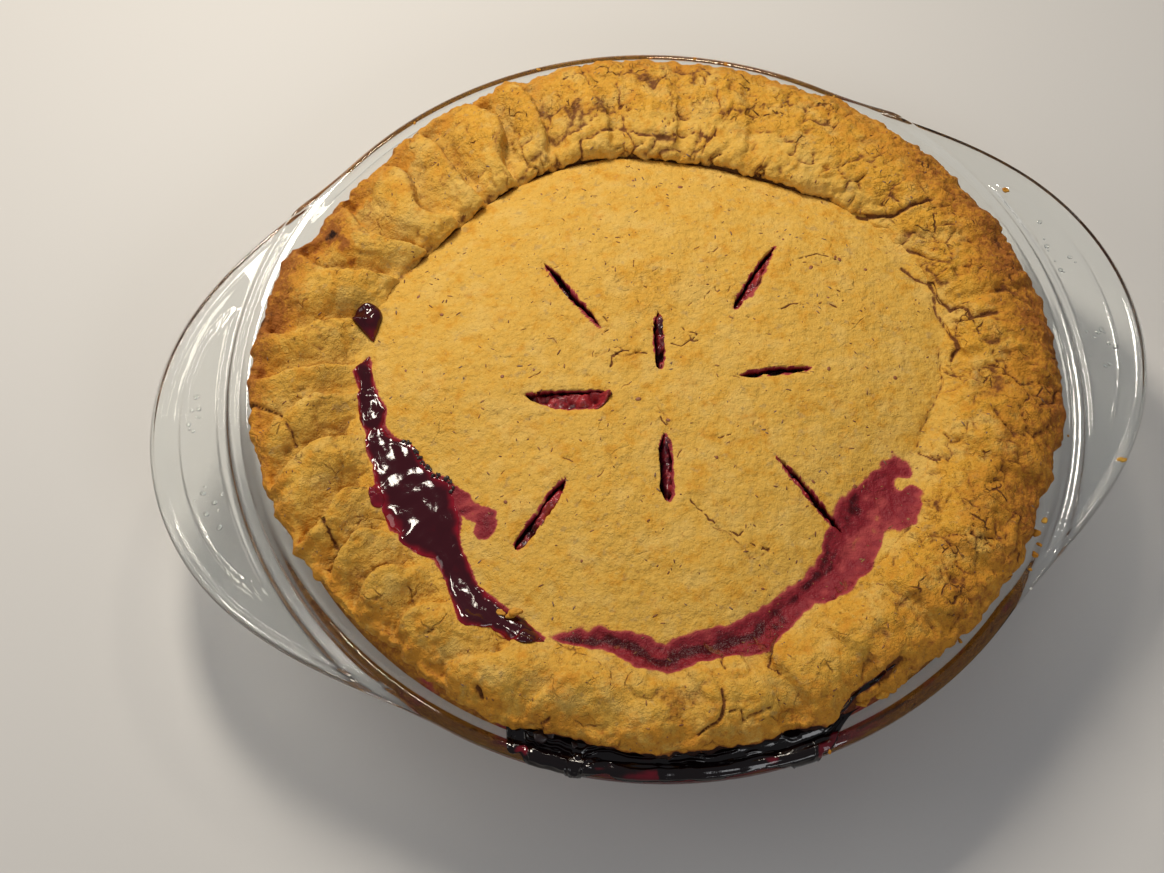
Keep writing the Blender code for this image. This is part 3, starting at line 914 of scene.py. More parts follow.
def split_lines(tree, place, size, width):
    """Thin wandering lines between patches of about size millimetres; 1 on a line."""
    bend = add_node(tree, "ShaderNodeTexNoise", {"Vector": place, "Scale": 1000.0 / size, "Detail": 3.0})
    away = add_node(tree, "ShaderNodeVectorMath", {0: bend.outputs["Color"], 1: (0.5, 0.5, 0.5)},
                    operation="SUBTRACT")
    pushed = add_node(tree, "ShaderNodeVectorMath", {0: away.outputs[0], "Scale": 0.7 * size * MM},
                      operation="SCALE")
    moved = add_node(tree, "ShaderNodeVectorMath", {0: place, 1: pushed.outputs[0]}, operation="ADD")
    cells = add_node(tree, "ShaderNodeTexVoronoi", {"Vector": moved.outputs[0], "Scale": 1000.0 / size},
                     feature="DISTANCE_TO_EDGE")
    return Flow(tree, cells.outputs["Distance"]).ramp(0.0, width / size, 1.0, 0.0)


def pastry_finish():
    material, tree, shader = principled("baked_pastry", Roughness=0.72, Specular_IOR_Level=0.22)
    place = add_node(tree, "ShaderNodeTexCoord").outputs["Object"]
    browned_and_shaded, soaked_and_shaded, crack = stored(tree, "browned_and_shaded"), stored(tree, "soaked_and_shaded"), stored(tree, "crack")
    broken = stored(tree, "broken")
    mottle = noise_at(tree, place, 2.6, 4.0, 0.6).ramp(0.45, 0.68)
    colour = blend_colours(tree, broken.ramp(0.3, 1.0, 0.0, 0.85), GOLDEN, AMBER)
    colour = blend_colours(tree, mottle * 0.75, colour, AMBER)
    pale = noise_at(tree, place, 4.5, 3.0).ramp(0.48, 0.66)
    colour = blend_colours(tree, pale * 0.7, colour, PALE)
    # Painted shade: darker olive in the flute valleys.
    colour = blend_colours(tree, stored(tree, "pressed") * 0.38, colour, VALLEY_SHADE_OLIVE)
    smudge = noise_at(tree, place, 1.5, 2.0).ramp(0.61, 0.73)
    colour = blend_colours(tree, smudge * 0.42, colour, GREY_TAN)
    grain = noise_at(tree, place, 0.55, 3.0, 0.75)
    colour = blend_colours(tree, grain.ramp(0.55, 0.72) * 0.45, colour, BROWN)
    # Painted shade: brown in the small pits, which the bump below also sinks.
    pits = noise_at(tree, place, 1.3, 4.0, 0.7)
    colour = blend_colours(tree, pits.ramp(0.42, 0.30) * broken.ramp(0.35, 0.9) * 0.55, colour, BROWN)
    colour = blend_colours(tree, grain.ramp(0.46, 0.28) * 0.35, colour, (0.86, 0.60, 0.18, 1))
    # On the bottom crust the stored browning also holds painted shade.
    patchy = browned_and_shaded + noise_at(tree, place, 2.6, 5.0, 0.75).ramp(0.3, 0.7, -0.42, 0.42, False)
    patchy = patchy.apply("MAXIMUM", 0.0)
    colour = blend_colours(tree, patchy.ramp(0.08, 0.60) * 0.9, colour, TOASTED)
    speckled = browned_and_shaded + noise_at(tree, place, 0.9, 4.0, 0.7).ramp(0.3, 0.7, -0.5, 0.5, False)
    colour = blend_colours(tree, speckled.ramp(0.45, 1.25) * 0.9, colour, BROWN)
    colour = blend_colours(tree, patchy.ramp(1.30, 1.9), colour, CHAR)
    # The stored soaking also holds painted shadow along the lid's edge.
    wet_and_shaded = (soaked_and_shaded + noise_at(tree, place, 1.6, 3.0).ramp(0.3, 0.7, -0.13, 0.13, False)).apply("MAXIMUM", 0.0)
    colour = blend_colours(tree, wet_and_shaded.ramp(0.10, 0.42), colour, ROSE)
    colour = blend_colours(tree, wet_and_shaded.ramp(0.42, 0.72), colour, PINK)
    colour = blend_colours(tree, wet_and_shaded.ramp(0.78, 1.15), colour, BURGUNDY)
    # Painted shade: split lines, cracks and folds are darkened towards brown and the crack shade.
    split = split_lines(tree, place, 7.5, 0.42) * noise_at(tree, place, 4.0, 2.0).ramp(0.57, 0.66)
    fine = split_lines(tree, place, 3.4, 0.22) * noise_at(tree, place, 2.4, 2.0).ramp(0.60, 0.70)
    lines = split.apply("MAXIMUM", fine * 0.6) * broken
    shade = crack.apply("MAXIMUM", lines * 0.8)
    shade = shade + noise_at(tree, place, 0.7, 2.0).ramp(0.3, 0.7, -0.14, 0.14, False)
    colour = blend_colours(tree, shade.ramp(0.05, 0.5) * 0.35, colour, BROWN)
    colour = blend_colours(tree, shade.ramp(0.34, 0.70) * 0.9, colour, CRACK_SHADE)
    feed(tree, shader.inputs["Base Color"], colour)
    feed(tree, shader.inputs["Roughness"], wet_and_shaded.ramp(0.45, 0.95, 0.74, 0.30, False))
    height = noise_at(tree, place, 0.45, 3.0, 0.7) * 0.8 + noise_at(tree, place, 1.2, 3.0, 0.6) * 1.6
    height = height + noise_at(tree, place, 2.4, 4.0, 0.7) * broken * 2.4 - lines * 1.4
    height = height + pits.ramp(0.30, 0.45, smooth=False) * broken * 0.9
    add_bump(tree, shader, height, 1.0, 0.00045)
    return material


pastry = pastry_finish()
print("the pastry has", len(pastry.node_tree.nodes), "nodes")

# %% Make the border
border_grid, border_across = border_points()
border_grid, border_cracks = add_border_relief(border_grid, border_across)
border = make_piece("crimped_border", border_grid, ring_faces(BORDER_COLUMNS, BORDER_ROWS), pastry)
border_top = vertices(border)[:, 2].max() - RIM_HEIGHT
print(f"border: {count_triangles(border)} triangles, top {border_top:.1f} mm above the rim")

# %% [markdown]
# ### The lid
#
# The lid is a dome that runs out under the border. A square grid bent into a disc gives it
# even faces with no crowded middle, which a fan of triangles would have. Its cells are
# split in three each way beside the hair-thin cracks. The slits are real
# cuts: knife-shaped blocks are subtracted with a Boolean, so their walls have the pastry's
# thickness and the filling can be seen below. Each block's outline wanders a little, as a
# cut through soft dough does. A slit is listed by its middle (x and y), heading, length and
# width, how blunt its start and its end are, and how its width is shared between its sides.

# %% Lid shape
LID_GRID = 250
LID_THICKNESS = 3.2
LID_TUCK = 5.0
CROWN_DROP = 0.4
CUT_RAGGEDNESS = 0.30
SUNKEN_SLIT = 4
SLITS = ((-20.6, 21.0, -66.3, 29.3, 2.1, 2.4, 1.3, 1.0),
         (33.0, 16.8, 49.0, 26.6, 2.6, 3.5, 1.6, 1.0),
         (0.6, 0.8, 80.6, 19.2, 2.8, 5.0, 2.4, 1.0),
         (30.4, -15.2, -3.6, 20.5, 2.5, 1.6, 2.0, 1.0),
         (-28.2, -10.5, -13.1, 23.4, 5.4, 1.4, 5.0, 0.35),
         (-5.9, -38.2, 80.5, 19.9, 3.4, 5.0, 2.6, 1.0),
         (-42.0, -43.8, 43.4, 23.6, 3.1, 6.0, 2.0, 1.0),
         (31.1, -52.3, 119.6, 26.1, 2.4, 3.0, 1.8, 1.0))


def lid_base(radius, angle):
    """Height of the lid above the rim before any relief."""
    edge, foot = around(LID_EDGE, angle), around(BORDER_FOOT, angle)
    dome = mix(LID_RISE - CROWN_DROP, GROOVE_RISE, np.clip(radius / edge, 0, 1) ** 2.6)
    channel = np.sin(math.pi * np.clip((radius - edge) / np.maximum(foot - edge, 1.0), 0, 1))
    return dome - channel * smooth_step(2, 5, foot - edge) - 0.45 * np.maximum(radius - foot, 0)


def slit_outline(slit, ragged, seed):
    """Closed outline of a slit, seen from above."""
    x, y, heading, length, width, start_blunt, end_blunt, far_share = slit
    stations = np.linspace(-1, 1, 91)
    blunt = np.where(stations < 0, start_blunt, end_blunt)
    half = width / 2 * (1 - np.abs(stations) ** (1.4 * blunt)) ** 0.8
    along = stations * (length / 2)
    wobble = np.stack([along, 0 * along, 0 * along + seed * 10.0], -1)
    loose = ragged * smooth_step(0.2, 0.6, half)
    left_wobble = noise(wobble, 1.1, seed) + 0.8 * noise(wobble, 3.0, seed + 4)
    right_wobble = noise(wobble, 1.1, seed + 1) + 0.8 * noise(wobble, 3.0, seed + 5)
    left = half * far_share + loose * left_wobble
    right = half * (far_share - 2) + loose * right_wobble
    sway = 0.5 * noise(wobble, 9.0, seed + 2)
    line = np.concatenate([np.stack([along, right + sway], -1), np.stack([along, left + sway], -1)[-2:0:-1]])
    cosine, sine = math.cos(math.radians(heading)), math.sin(math.radians(heading))
    return line @ np.array([[cosine, sine], [-sine, cosine]]) + np.array((x, y))


def slit_distance(points, slit):
    """Distance outside a slit's outline, and which side of it a point is on."""
    x, y, heading, length, width, start_blunt, end_blunt, far_share = slit
    cosine, sine = math.cos(math.radians(heading)), math.sin(math.radians(heading))
    offset = points[..., :2] - np.array((x, y))
    along, side = offset @ np.array((cosine, sine)), offset @ np.array((-sine, cosine))
    share = np.clip(np.abs(along) / (length / 2), 0, 1)
    half = width / 2 * (1 - share ** (1.4 * np.where(along < 0, start_blunt, end_blunt))) ** 0.8
    half = half * np.where(side > 0, far_share, 2 - far_share)
    past = np.maximum(np.abs(along) - length / 2, 0)
    return np.hypot(np.maximum(np.abs(side) - half, 0), past), side


def lid_height(points):
    """Full height of the lid, with its swells, lumps, cracks and the slits' sunken lips."""
    points = points * np.array((1, 1, 0))
    radius, angle = polar(points)
    height = lid_base(radius, angle) + 0.5 * noise(points, 26.0, 70) * (1 - smooth_step(60, 80, radius))
    height = height + surface_relief(points) * 0.75
    height = height - 0.9 * crack_depths(points)
    height = height - 0.35 * hairlines(points)
    for number, slit in enumerate(SLITS):
        away, side = slit_distance(points, slit)
        lip = 1.3 if number == SUNKEN_SLIT else 0.5
        near_side = np.where(side < 0, lip, 0.25)
        height = height - near_side * np.exp(-(away / 1.1) ** 2)
    fold = at_the_back(angle)
    tucked = np.exp(-((radius - around(BORDER_FOOT, angle) + 0.2) / 1.0) ** 2)
    return height - 1.4 * fold * tucked


def disc_grid(count):
    """Square grid bent into a unit disc with even cells."""
    line = np.linspace(-1, 1, count)
    a, b = np.meshgrid(line, line, indexing="ij")
    wide = np.abs(a) > np.abs(b)
    radius = np.where(wide, a, b)
    safe = np.where(radius == 0, 1, radius)
    angle = np.where(wide, math.pi / 4 * b / safe, math.pi / 2 - math.pi / 4 * a / safe)
    return radius * np.cos(angle), radius * np.sin(angle)


def grid_quads(index):
    """Quads of an open grid of point numbers."""
    return np.stack([index[:-1, :-1], index[1:, :-1], index[1:, 1:], index[:-1, 1:]], -1).reshape(-1, 4)


def disc_faces(count):
    """Quads of the bent grid, and the loop of points round its edge."""
    index = np.arange(count ** 2).reshape(count, count)
    rim = np.concatenate([index[0, :-1], index[:-1, -1], index[-1, :0:-1], index[:0:-1, 0]])
    return grid_quads(index), rim


def refine(points, quads, wanted, cuts):
    """Split the wanted quads of a flat grid into smaller ones; the old points keep their numbers."""
    mesh = bpy.data.meshes.new("grid")
    mesh.from_pydata(points, [], quads.tolist())
    build = bmesh.new()
    build.from_mesh(mesh)
    build.faces.ensure_lookup_table()
    edges = {edge for number in np.nonzero(wanted)[0] for edge in build.faces[number].edges}
    bmesh.ops.subdivide_edges(build, edges=list(edges), cuts=cuts, use_grid_fill=True)
    build.to_mesh(mesh)
    build.free()
    places = np.empty(len(mesh.vertices) * 3)
    mesh.vertices.foreach_get("co", places)
    faces = [list(face.vertices) for face in mesh.polygons]
    bpy.data.meshes.remove(mesh)
    return places.reshape(-1, 3), faces


def close_below(top, faces, rim, rings, bottom):
    """Close a height field with rings of points under it that end in one point at the bottom."""
    points, ring, start = [top, *rings, np.array([[0, 0, bottom]])], rim, len(top)
    for _ in rings:
        lower = np.arange(start, start + len(rim))
        faces += np.stack([ring, np.roll(ring, -1), np.roll(lower, -1), lower], -1).tolist()
        ring, start = lower, start + len(rim)
    faces += [(int(first), int(second), start) for first, second in zip(ring, np.roll(ring, -1))]
    return np.concatenate(points), faces


def lid_mesh():
    """Fine top, plain underside, closed round the edge."""
    x, y = disc_grid(LID_GRID)
    unit = np.stack([x, y, 0 * x], -1).reshape(-1, 3)
    flat = unit * (around(BORDER_FOOT, polar(unit)[1]) + LID_TUCK)[:, None]
    quads, rim = disc_faces(LID_GRID)
    middles = flat[quads].mean(axis=1)
    lines = [*HAIRLINES, *stray_cracks()]
    near_crack = np.min([from_line(middles, line) for line in lines], axis=0) < 0.9
    top, faces = refine(flat, quads, near_crack, 2)
    top[:, 2] = lid_height(top) + RIM_HEIGHT
    rings = []
    for share in (0.99, 0.85, 0.65, 0.45, 0.22):
        below = top[rim] * share
        below[:, 2] = lid_base(*polar(below)) + RIM_HEIGHT - LID_THICKNESS
        rings.append(below)
    return close_below(top, faces, rim, rings, RIM_HEIGHT + LID_RISE - CROWN_DROP - LID_THICKNESS)


def slit_blocks():
    """All slits as closed blocks in one mesh."""
    low, high = RIM_HEIGHT + 2.0, RIM_HEIGHT + LID_RISE + 6.0
    points, faces = [], []
    for number, slit in enumerate(SLITS):
        outline = slit_outline(slit, CUT_RAGGEDNESS, 90 + 3 * number)
        count, start = len(outline), sum(len(part) for part in points)
        for height in (low, high):
            points.append(np.column_stack([outline, np.full(count, height)]))
        faces.append([start + i for i in reversed(range(count))])
        faces.append([start + count + i for i in range(count)])
        faces += [[start + i, start + (i + 1) % count, start + count + (i + 1) % count, start + count + i]
                  for i in range(count)]
    return np.concatenate(points), faces


def apply_modifiers(piece):
    """Bake a piece's modifiers into its mesh."""
    graph = bpy.context.evaluated_depsgraph_get()
    mesh = bpy.data.meshes.new_from_object(piece.evaluated_get(graph))
    piece.modifiers.clear()
    piece.data = mesh


# %% Make the lid
lid = make_piece("pastry_lid", *lid_mesh(), pastry)
blocks = make_piece("slit_blocks", *slit_blocks(), pastry)
carve = lid.modifiers.new("slits", "BOOLEAN")
carve.operation = "DIFFERENCE"
carve.solver = "MANIFOLD"
carve.object = blocks
before_cut = len(lid.data.vertices)
apply_modifiers(lid)
bpy.data.objects.remove(blocks)
print(f"lid: {before_cut} points before the cut, {len(lid.data.vertices)} after")
print(f"lid: {count_triangles(lid)} triangles")

# %% [markdown]
# ### Where the pastry browned, soaked and cracked, and where shade is painted
#
# These numbers are worked out from each vertex's place after the shape is final, so the
# colour follows the relief. Browning gathers at the thin outer edge, most of all at the
# upper left and the right, and the edge is burnt where juice boiled over it. Juice soaked
# the channel along the near side, a smear beside the pool, and the lips and walls of the
# slits. Each slit has its own darkness. The stain is deeper in the channel's crease and
# along the lid's edge: partly juice gathered there, partly painted shadow of the lid's edge.

# %% Browning and soaking
STAIN_INNER = ((240, 88.5), (248, 84.5), (253, 85), (259, 87), (265, 84.5), (271, 84.5), (277, 82),
               (283, 80), (288, 78.5), (294, 75.5), (301, 69.5), (308, 68), (315, 70), (322, 73))
STAIN_OUTER = ((240, 89), (246, 89), (250, 89), (254, 93), (259, 94), (263, 92), (268, 91), (276, 92),
               (282, 87), (287, 84.5), (292, 87), (297, 86), (301, 84.5), (307, 81.5), (312, 86.5),
               (318, 83.5), (323, 76))
SMEAR = ((72.2, 206.5), (71.2, 211), (70.0, 216.6), (72.8, 217.4))
NOTCH = ((84.5, 320.6), (80.2, 319.6), (78.0, 317.8))
DARK_SPOTS = (((70.4, 308.4), (72.6, 306.6)), ((81.0, 315.3), (79.3, 313.0)))
STAINED_LIP = ((40.7, 27.9), (36.1, 23.6), (31.9, 19.8))
SLIT_DARKNESS = (1.15, 0.50, 0.75, 1.15, 1.5, 0.95, 0.75, 0.60)
SINGED = ((109, 144), (102, 145), (96, 148))


def browning(points):
    radius, angle = polar(points)
    edge = by_angle(EDGE, angle)
    patch = 0.5 + 0.5 * rough(points, 9.0, 120)
    side = 0.52 + 0.48 * np.maximum(smooth_step(45, 5, np.abs(apart(angle, 158))),
                                    smooth_step(50, 10, np.abs(apart(angle, 355))))
    right = smooth_step(80, 30, np.abs(apart(angle, 345)))
    left = smooth_step(24, 6, np.abs(apart(angle, 153)))
    rim = smooth_step(mix(11.0, 24.0, right) + 7 * left, 0.0, edge - radius) * (side + 0.35 * left)
    crest = 0.30 * smooth_step(RIM_HEIGHT + 8, RIM_HEIGHT + 13, points[:, 2]) * (radius > 76) * patch
    crest = crest + (0.10 + 0.30 * right) * smooth_step(86, 100, radius) * (0.6 + 0.4 * patch)
    singed = from_line(points + 2.0 * noise(points, 3.0, 122)[:, None], SINGED)
    singe = 1.1 * np.exp(-(singed / 2.2) ** 2) * (0.6 + 0.6 * noise(points, 2.0, 123))
    burnt_edge = smooth_step(238, 246, angle) * smooth_step(288, 281, angle) * (radius > 100)
    above = 0.5 * np.maximum(points[:, 2] - RIM_HEIGHT - 1.0, 0)
    burnt_edge = burnt_edge * smooth_step(1.2, -0.3, edge - radius + above + 0.9 * noise(points, 1.8, 137))
    return 1.1 * rim * (0.45 + 0.75 * patch) + crest * 0.6 + singe + 2.2 * burnt_edge


def soaking(points):
    radius, angle = polar(points)
    ragged = 0.9 * noise(points, 3.0, 130) + 0.35 * noise(points, 1.2, 131)
    inner, outer = by_angle(STAIN_INNER, angle), by_angle(STAIN_OUTER, angle)
    inside = smooth_step(-2.2, 0.6, radius + ragged - inner)
    inside = inside * smooth_step(1.9, -0.2, radius + ragged * 0.8 - outer)
    band = inside * smooth_step(238, 242, angle) * smooth_step(325, 321, angle)
    band = band * smooth_step(0.9, 2.6, from_line(points, NOTCH) + 0.8 * ragged)
    # Partly stain, partly painted shade: the stain deepens along the channel's crease, near the lid's edge.
    middle = mix(inner, outer, mix(0.5, 0.28, smooth_step(262, 285, angle)))
    crease = np.exp(-((radius - middle + 1.8 * noise(points, 6.0, 132)) / 1.2) ** 2)
    uneven = 0.20 * noise(points, 2.2, 133) + 0.20 * noise(points, 6.0, 136)
    # Painted shadow: a darker line of stain just outside the lid's edge.
    along_lid = smooth_step(286, 292, angle) * smooth_step(322, 312, angle)
    lid_edge_shadow = 0.34 * np.exp(-((radius - inner - 1.0 + ragged) / 1.3) ** 2) * along_lid
    depth = 0.62 + 0.34 * crease * smooth_step(318, 296, angle) + lid_edge_shadow + uneven
    for line in DARK_SPOTS:
        depth = depth + 0.28 * np.exp(-((from_line(points, line) + ragged) / 2.2) ** 2)
    stain_and_shade = band * (depth + 0.18 * smooth_step(300, 275, angle))
    stain_and_shade = np.maximum(stain_and_shade, 0.45 * smooth_step(1.7, 0.6, from_line(points, STAINED_LIP) + 0.4 * ragged))
    smear = from_line(points + ragged[:, None] * np.array((0.6, 0.3, 0)), SMEAR)
    streaked = 0.66 + 0.30 * noise(points * np.array((0.5, 1.0, 0)), 1.5, 135)
    stain_and_shade = np.maximum(stain_and_shade, streaked * smooth_step(3.2, 2.3, smear))
    pool = smooth_step(-0.7, 0.5, radius - by_angle(POOL_INNER, angle))
    pool = pool * smooth_step(0.4, -0.7, radius - by_angle(POOL_OUTER, angle))
    pool = pool * smooth_step(-0.8, 0.2, angle - POOL_INNER[0][0]) * (angle < POOL_INNER[-1][0])
    stain_and_shade = np.maximum(stain_and_shade, 0.95 * pool)
    skin = lid_height(points) + RIM_HEIGHT
    for slit, darkness in zip(SLITS, SLIT_DARKNESS):
        away, side = slit_distance(points, slit)
        away = away + 0.30 * noise(points, 1.1, 134)
        cut_wall = (away < 0.8) & (points[:, 2] < skin - 0.35)
        wall = darkness + 0.30 * noise(points, 1.3, 138)
        lip = (0.75 if slit[-1] == 1.0 else 1.0) * smooth_step(0.30, -0.1, away)
        stain_and_shade = np.maximum(stain_and_shade, np.where(cut_wall, wall, lip * np.where((side > 0) & (slit[-1] < 1), 0.1, 1)))
    below = smooth_step(RIM_HEIGHT - 0.5, RIM_HEIGHT - 2.5, points[:, 2])
    return np.maximum(stain_and_shade, 0.7 * below * (radius < 100))


POOL_OUTER = ((168.2, 83.2), (170.5, 85.7), (172, 87.2), (175.8, 85.5), (181.4, 86.2), (185.4, 85.7),
              (188.8, 87.1), (192.1, 86.7), (195.8, 88.4), (201.3, 90.1), (204.7, 91.2), (206.3, 90.1),
              (207.8, 91.4), (211.3, 89.9), (214.1, 87.5), (217.9, 89.4), (221.3, 92.6), (224.9, 97.3),
              (226.5, 97.4), (229.8, 93.7), (233.4, 94.8), (235.6, 93.2), (238.6, 91.4))
POOL_INNER = ((168.2, 82.8), (172.8, 81.8), (178, 80.3), (181, 78.6), (184.2, 80.2), (187.3, 78.9),
              (190.4, 75.1), (195.5, 73.8), (199.7, 73.0), (202.2, 70.8), (204.7, 70.1), (206.4, 72.2),
              (209.2, 73.0), (212, 74.8), (214, 77.9), (216, 80.2), (219.6, 82.4), (223.3, 85.6),
              (229.3, 86.7), (233.1, 87.7), (238.6, 90.6))


def paint_pastry(piece):
    """Store browning, soaking and crack depth on a piece's vertices; the colour darkens the cracks as painted
    shade.
    """
    points = vertices(piece)
    radius, angle = polar(points)
    store(piece, "browned_and_shaded", browning(points))
    store(piece, "soaked_and_shaded", soaking(points))
    store(piece, "crack", crack_depths(points))
    store(piece, "pressed", 0 * radius)
    on_lid = 0.15 + 0.6 * smooth_step(0.1, 0.7, noise(points, 22.0, 121)) * smooth_step(80, 55, radius)
    store(piece, "broken", np.maximum(on_lid, smooth_step(80, 90, radius) * (0.4 + 0.6 * flaky(angle))))
    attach(piece, BODY)


for piece in (border, lid):
    paint_pastry(piece)
place = vertices(border)
radius, angle = polar(place)
flute = flute_angle(place, np.clip((edge_radius(angle) - radius) / 28, 0, 1))
along = smooth_step(80, 88, radius) * smooth_step(115, 106, radius)
# Painted shade: how deep each spot lies in a flute valley, for the darker valley colour.
store(border, "pressed", flute_valley(flute) * along)
# Painted shade: the border's cracks, the fold under the back roll and the flute creases are stored for
# darkening.
shade = np.zeros(len(place))
shade[:border_cracks.size] = np.clip(border_cracks.ravel(), 0, 1)
fold = at_the_back(angle) * np.exp(-((radius - around(BORDER_FOOT, angle)) / 1.0) ** 2)
fold_and_crease_shade = np.maximum(0.6 * fold * (place[:, 2] < RIM_HEIGHT + 9), 0.45 * flute_crease(flute) * along)
store(border, "crack", np.maximum(shade, fold_and_crease_shade))
# Painted shade: the lid's cracks, its hair-thin cracks and its edge under the back roll are stored for
# darkening.
place = vertices(lid)
radius, angle = polar(place)
fold = at_the_back(angle) * smooth_step(-2.0, 0.3, radius - around(BORDER_FOOT, angle))
hair = 1.3 * hairlines(place * np.array((1, 1, 0)))
store(lid, "crack", np.maximum.reduce([crack_depths(place), hair, fold]))
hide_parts("crust")
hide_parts("crust")

# %% [markdown]
# ## Pastry under the berries
#
# Through the glass one sees the bottom crust: it lies against the floor and wall of the dish
# and turns out under the border. It is a turned shell like the dish. Its outside reaches a
# seventh of a millimetre into the glass, because pastry that only touches the glass would
# leave a film of air that mirrors the light. No noise dents it, inside or outside.

# %% Bottom crust
BASE_COLUMNS = 400
INTO_GLASS = 0.15
BOILED_OVER_AT = 262


def turned(profile, columns):
    """Closed solid of revolution from (radius, height) rows that start and end on the axis."""
    radians = np.arange(columns) * 2 * math.pi / columns
    rows = np.array(profile[1:-1])
    ring = np.stack([rows[None, :, 0] * np.cos(radians)[:, None], rows[None, :, 0] * np.sin(radians)[:, None],
                     np.repeat(rows[None, :, 1], columns, 0)], -1)
    count = len(rows)
    start = np.arange(columns)[:, None] * count + np.arange(count - 1)
    beside = (np.arange(columns)[:, None] + 1) % columns * count + np.arange(count - 1)
    faces = np.stack([start, beside, beside + 1, start + 1], -1).reshape(-1, 4).tolist()
    first, last = columns * count, columns * count + 1
    for column in range(columns):
        after = (column + 1) % columns
        faces.append((column * count, after * count, first))
        faces.append((column * count + count - 1, after * count + count - 1, last))
    ends = np.array([[0, 0, profile[0][1]], [0, 0, profile[-1][1]]])
    return np.concatenate([ring.reshape(-1, 3), ends]), faces


def base_profile():
    bottom = FLOOR_Z - INTO_GLASS
    rows = [(0, bottom)] + [(radius, bottom) for radius in np.linspace(10, 86, 14)]
    wall_foot = (WALL_FOOT[0] + INTO_GLASS, WALL_FOOT[1] - 0.1)
    rows += [tuple(point) for point in arc((86.0, bottom), wall_foot, (90.7, bottom))]
    rows += [(wall_radius(height) + INTO_GLASS, height) for height in np.linspace(8.5, 37.5, 24)]
    rows += [tuple(point) for point in arc((112.8, 38.6), (107.0, 43.2), (112.0, 42.6))]
    rows += [(104.0, 42.0), (100.0, 34.0), (92.0, 16.0), (88.0, 10.0), (83.0, 8.2), (40.0, 8.2), (0, 8.2)]
    return rows


base = make_piece("bottom_crust", *turned(base_profile(), BASE_COLUMNS), pastry)
paint_pastry(base)
base_place = vertices(base)
base_angle = polar(base_place)[1]
rising = smooth_step(10, 40, base_place[:, 2])
patches = 0.5 + 0.5 * rough(base_place * np.array((1, 1, 0.5)), 13.0, 140)
seeped = np.exp(-(apart(base_angle, BOILED_OVER_AT) / 22) ** 2) * 1.1
seeped = np.maximum(seeped, 0.35 * smooth_step(0.55, 0.85, patches))
near_side = smooth_step(0.35, -0.35, np.sin(np.radians(base_angle)))
boiled_over = np.exp(-(apart(base_angle, BOILED_OVER_AT) / 25) ** 4)
seeped = np.maximum(seeped, 1.25 * boiled_over * smooth_step(12, 30, base_place[:, 2]))
store(base, "soaked_and_shaded", seeped * (0.55 + 0.5 * patches) * (0.4 + 0.6 * rising))
# Painted shade: the crust is darker near its top, in the shaded gap under the rim, and on the near side,
# which is in shade.
gap_shade = smooth_step(33, 40, base_place[:, 2])
toasted_and_shaded = 0.25 + 0.35 * smooth_step(0.3, 0.8, patches) + 0.15 * rising
toasted_and_shaded = toasted_and_shaded + 0.5 * gap_shade + 0.4 * near_side * rising
store(base, "browned_and_shaded", np.minimum(toasted_and_shaded, 0.9))
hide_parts("crust")
print(f"bottom crust: {count_triangles(base)} triangles")

# %% [markdown]
# ## Berry filling
#
# The filling shows only in the slits: dark, wet and lumpy where it bubbled up against the
# lid. It is one solid body all the same, because it is one solid mass in the pie. Its top
# is a height field. Round berries are raised in it with the same cells that made the
# slabs, used the other way: high in the middle of each cell and low at the borders. Under
# each slit it swells up by its own amount and turns redder, which FILLED lists.

# %% Filling
FILLING_GRID = 220
FILLING_WALL = ((100.5, 34.0), (92.4, 15.8), (88.3, 9.7), (83.0, 8.0), (40.0, 8.0))
TURNED_SLIT = 7
FILLED = ((3.4, 0.40), (6.0, 0.95), (4.8, 0.60), (3.4, 0.42), (6.0, 0.95), (4.6, 0.55), (5.2, 0.70),
          (6.0, 0.90))


def filling_finish():
    material, tree, shader = principled("cooked_berries", Roughness=0.34, Specular_IOR_Level=0.45,
                                        Coat_Weight=0.35, Coat_Roughness=0.12)
    place = add_node(tree, "ShaderNodeTexCoord").outputs["Object"]
    risen = stored(tree, "risen")
    colour = blend_colours(tree, noise_at(tree, place, 3.0, 3.0).ramp(0.35, 0.65), (0.020, 0.0015, 0.005, 1),
                           (0.085, 0.005, 0.014, 1))
    rough_skin = (risen + noise_at(tree, place, 1.4, 3.0).ramp(0.3, 0.7, -0.22, 0.22, False))
    colour = blend_colours(tree, rough_skin.ramp(0.30, 0.85), colour, (0.36, 0.026, 0.032, 1))
    feed(tree, shader.inputs["Base Color"], colour)
    add_bump(tree, shader, noise_at(tree, place, 0.7, 4.0, 0.65), 0.8, 0.0005)
    return material


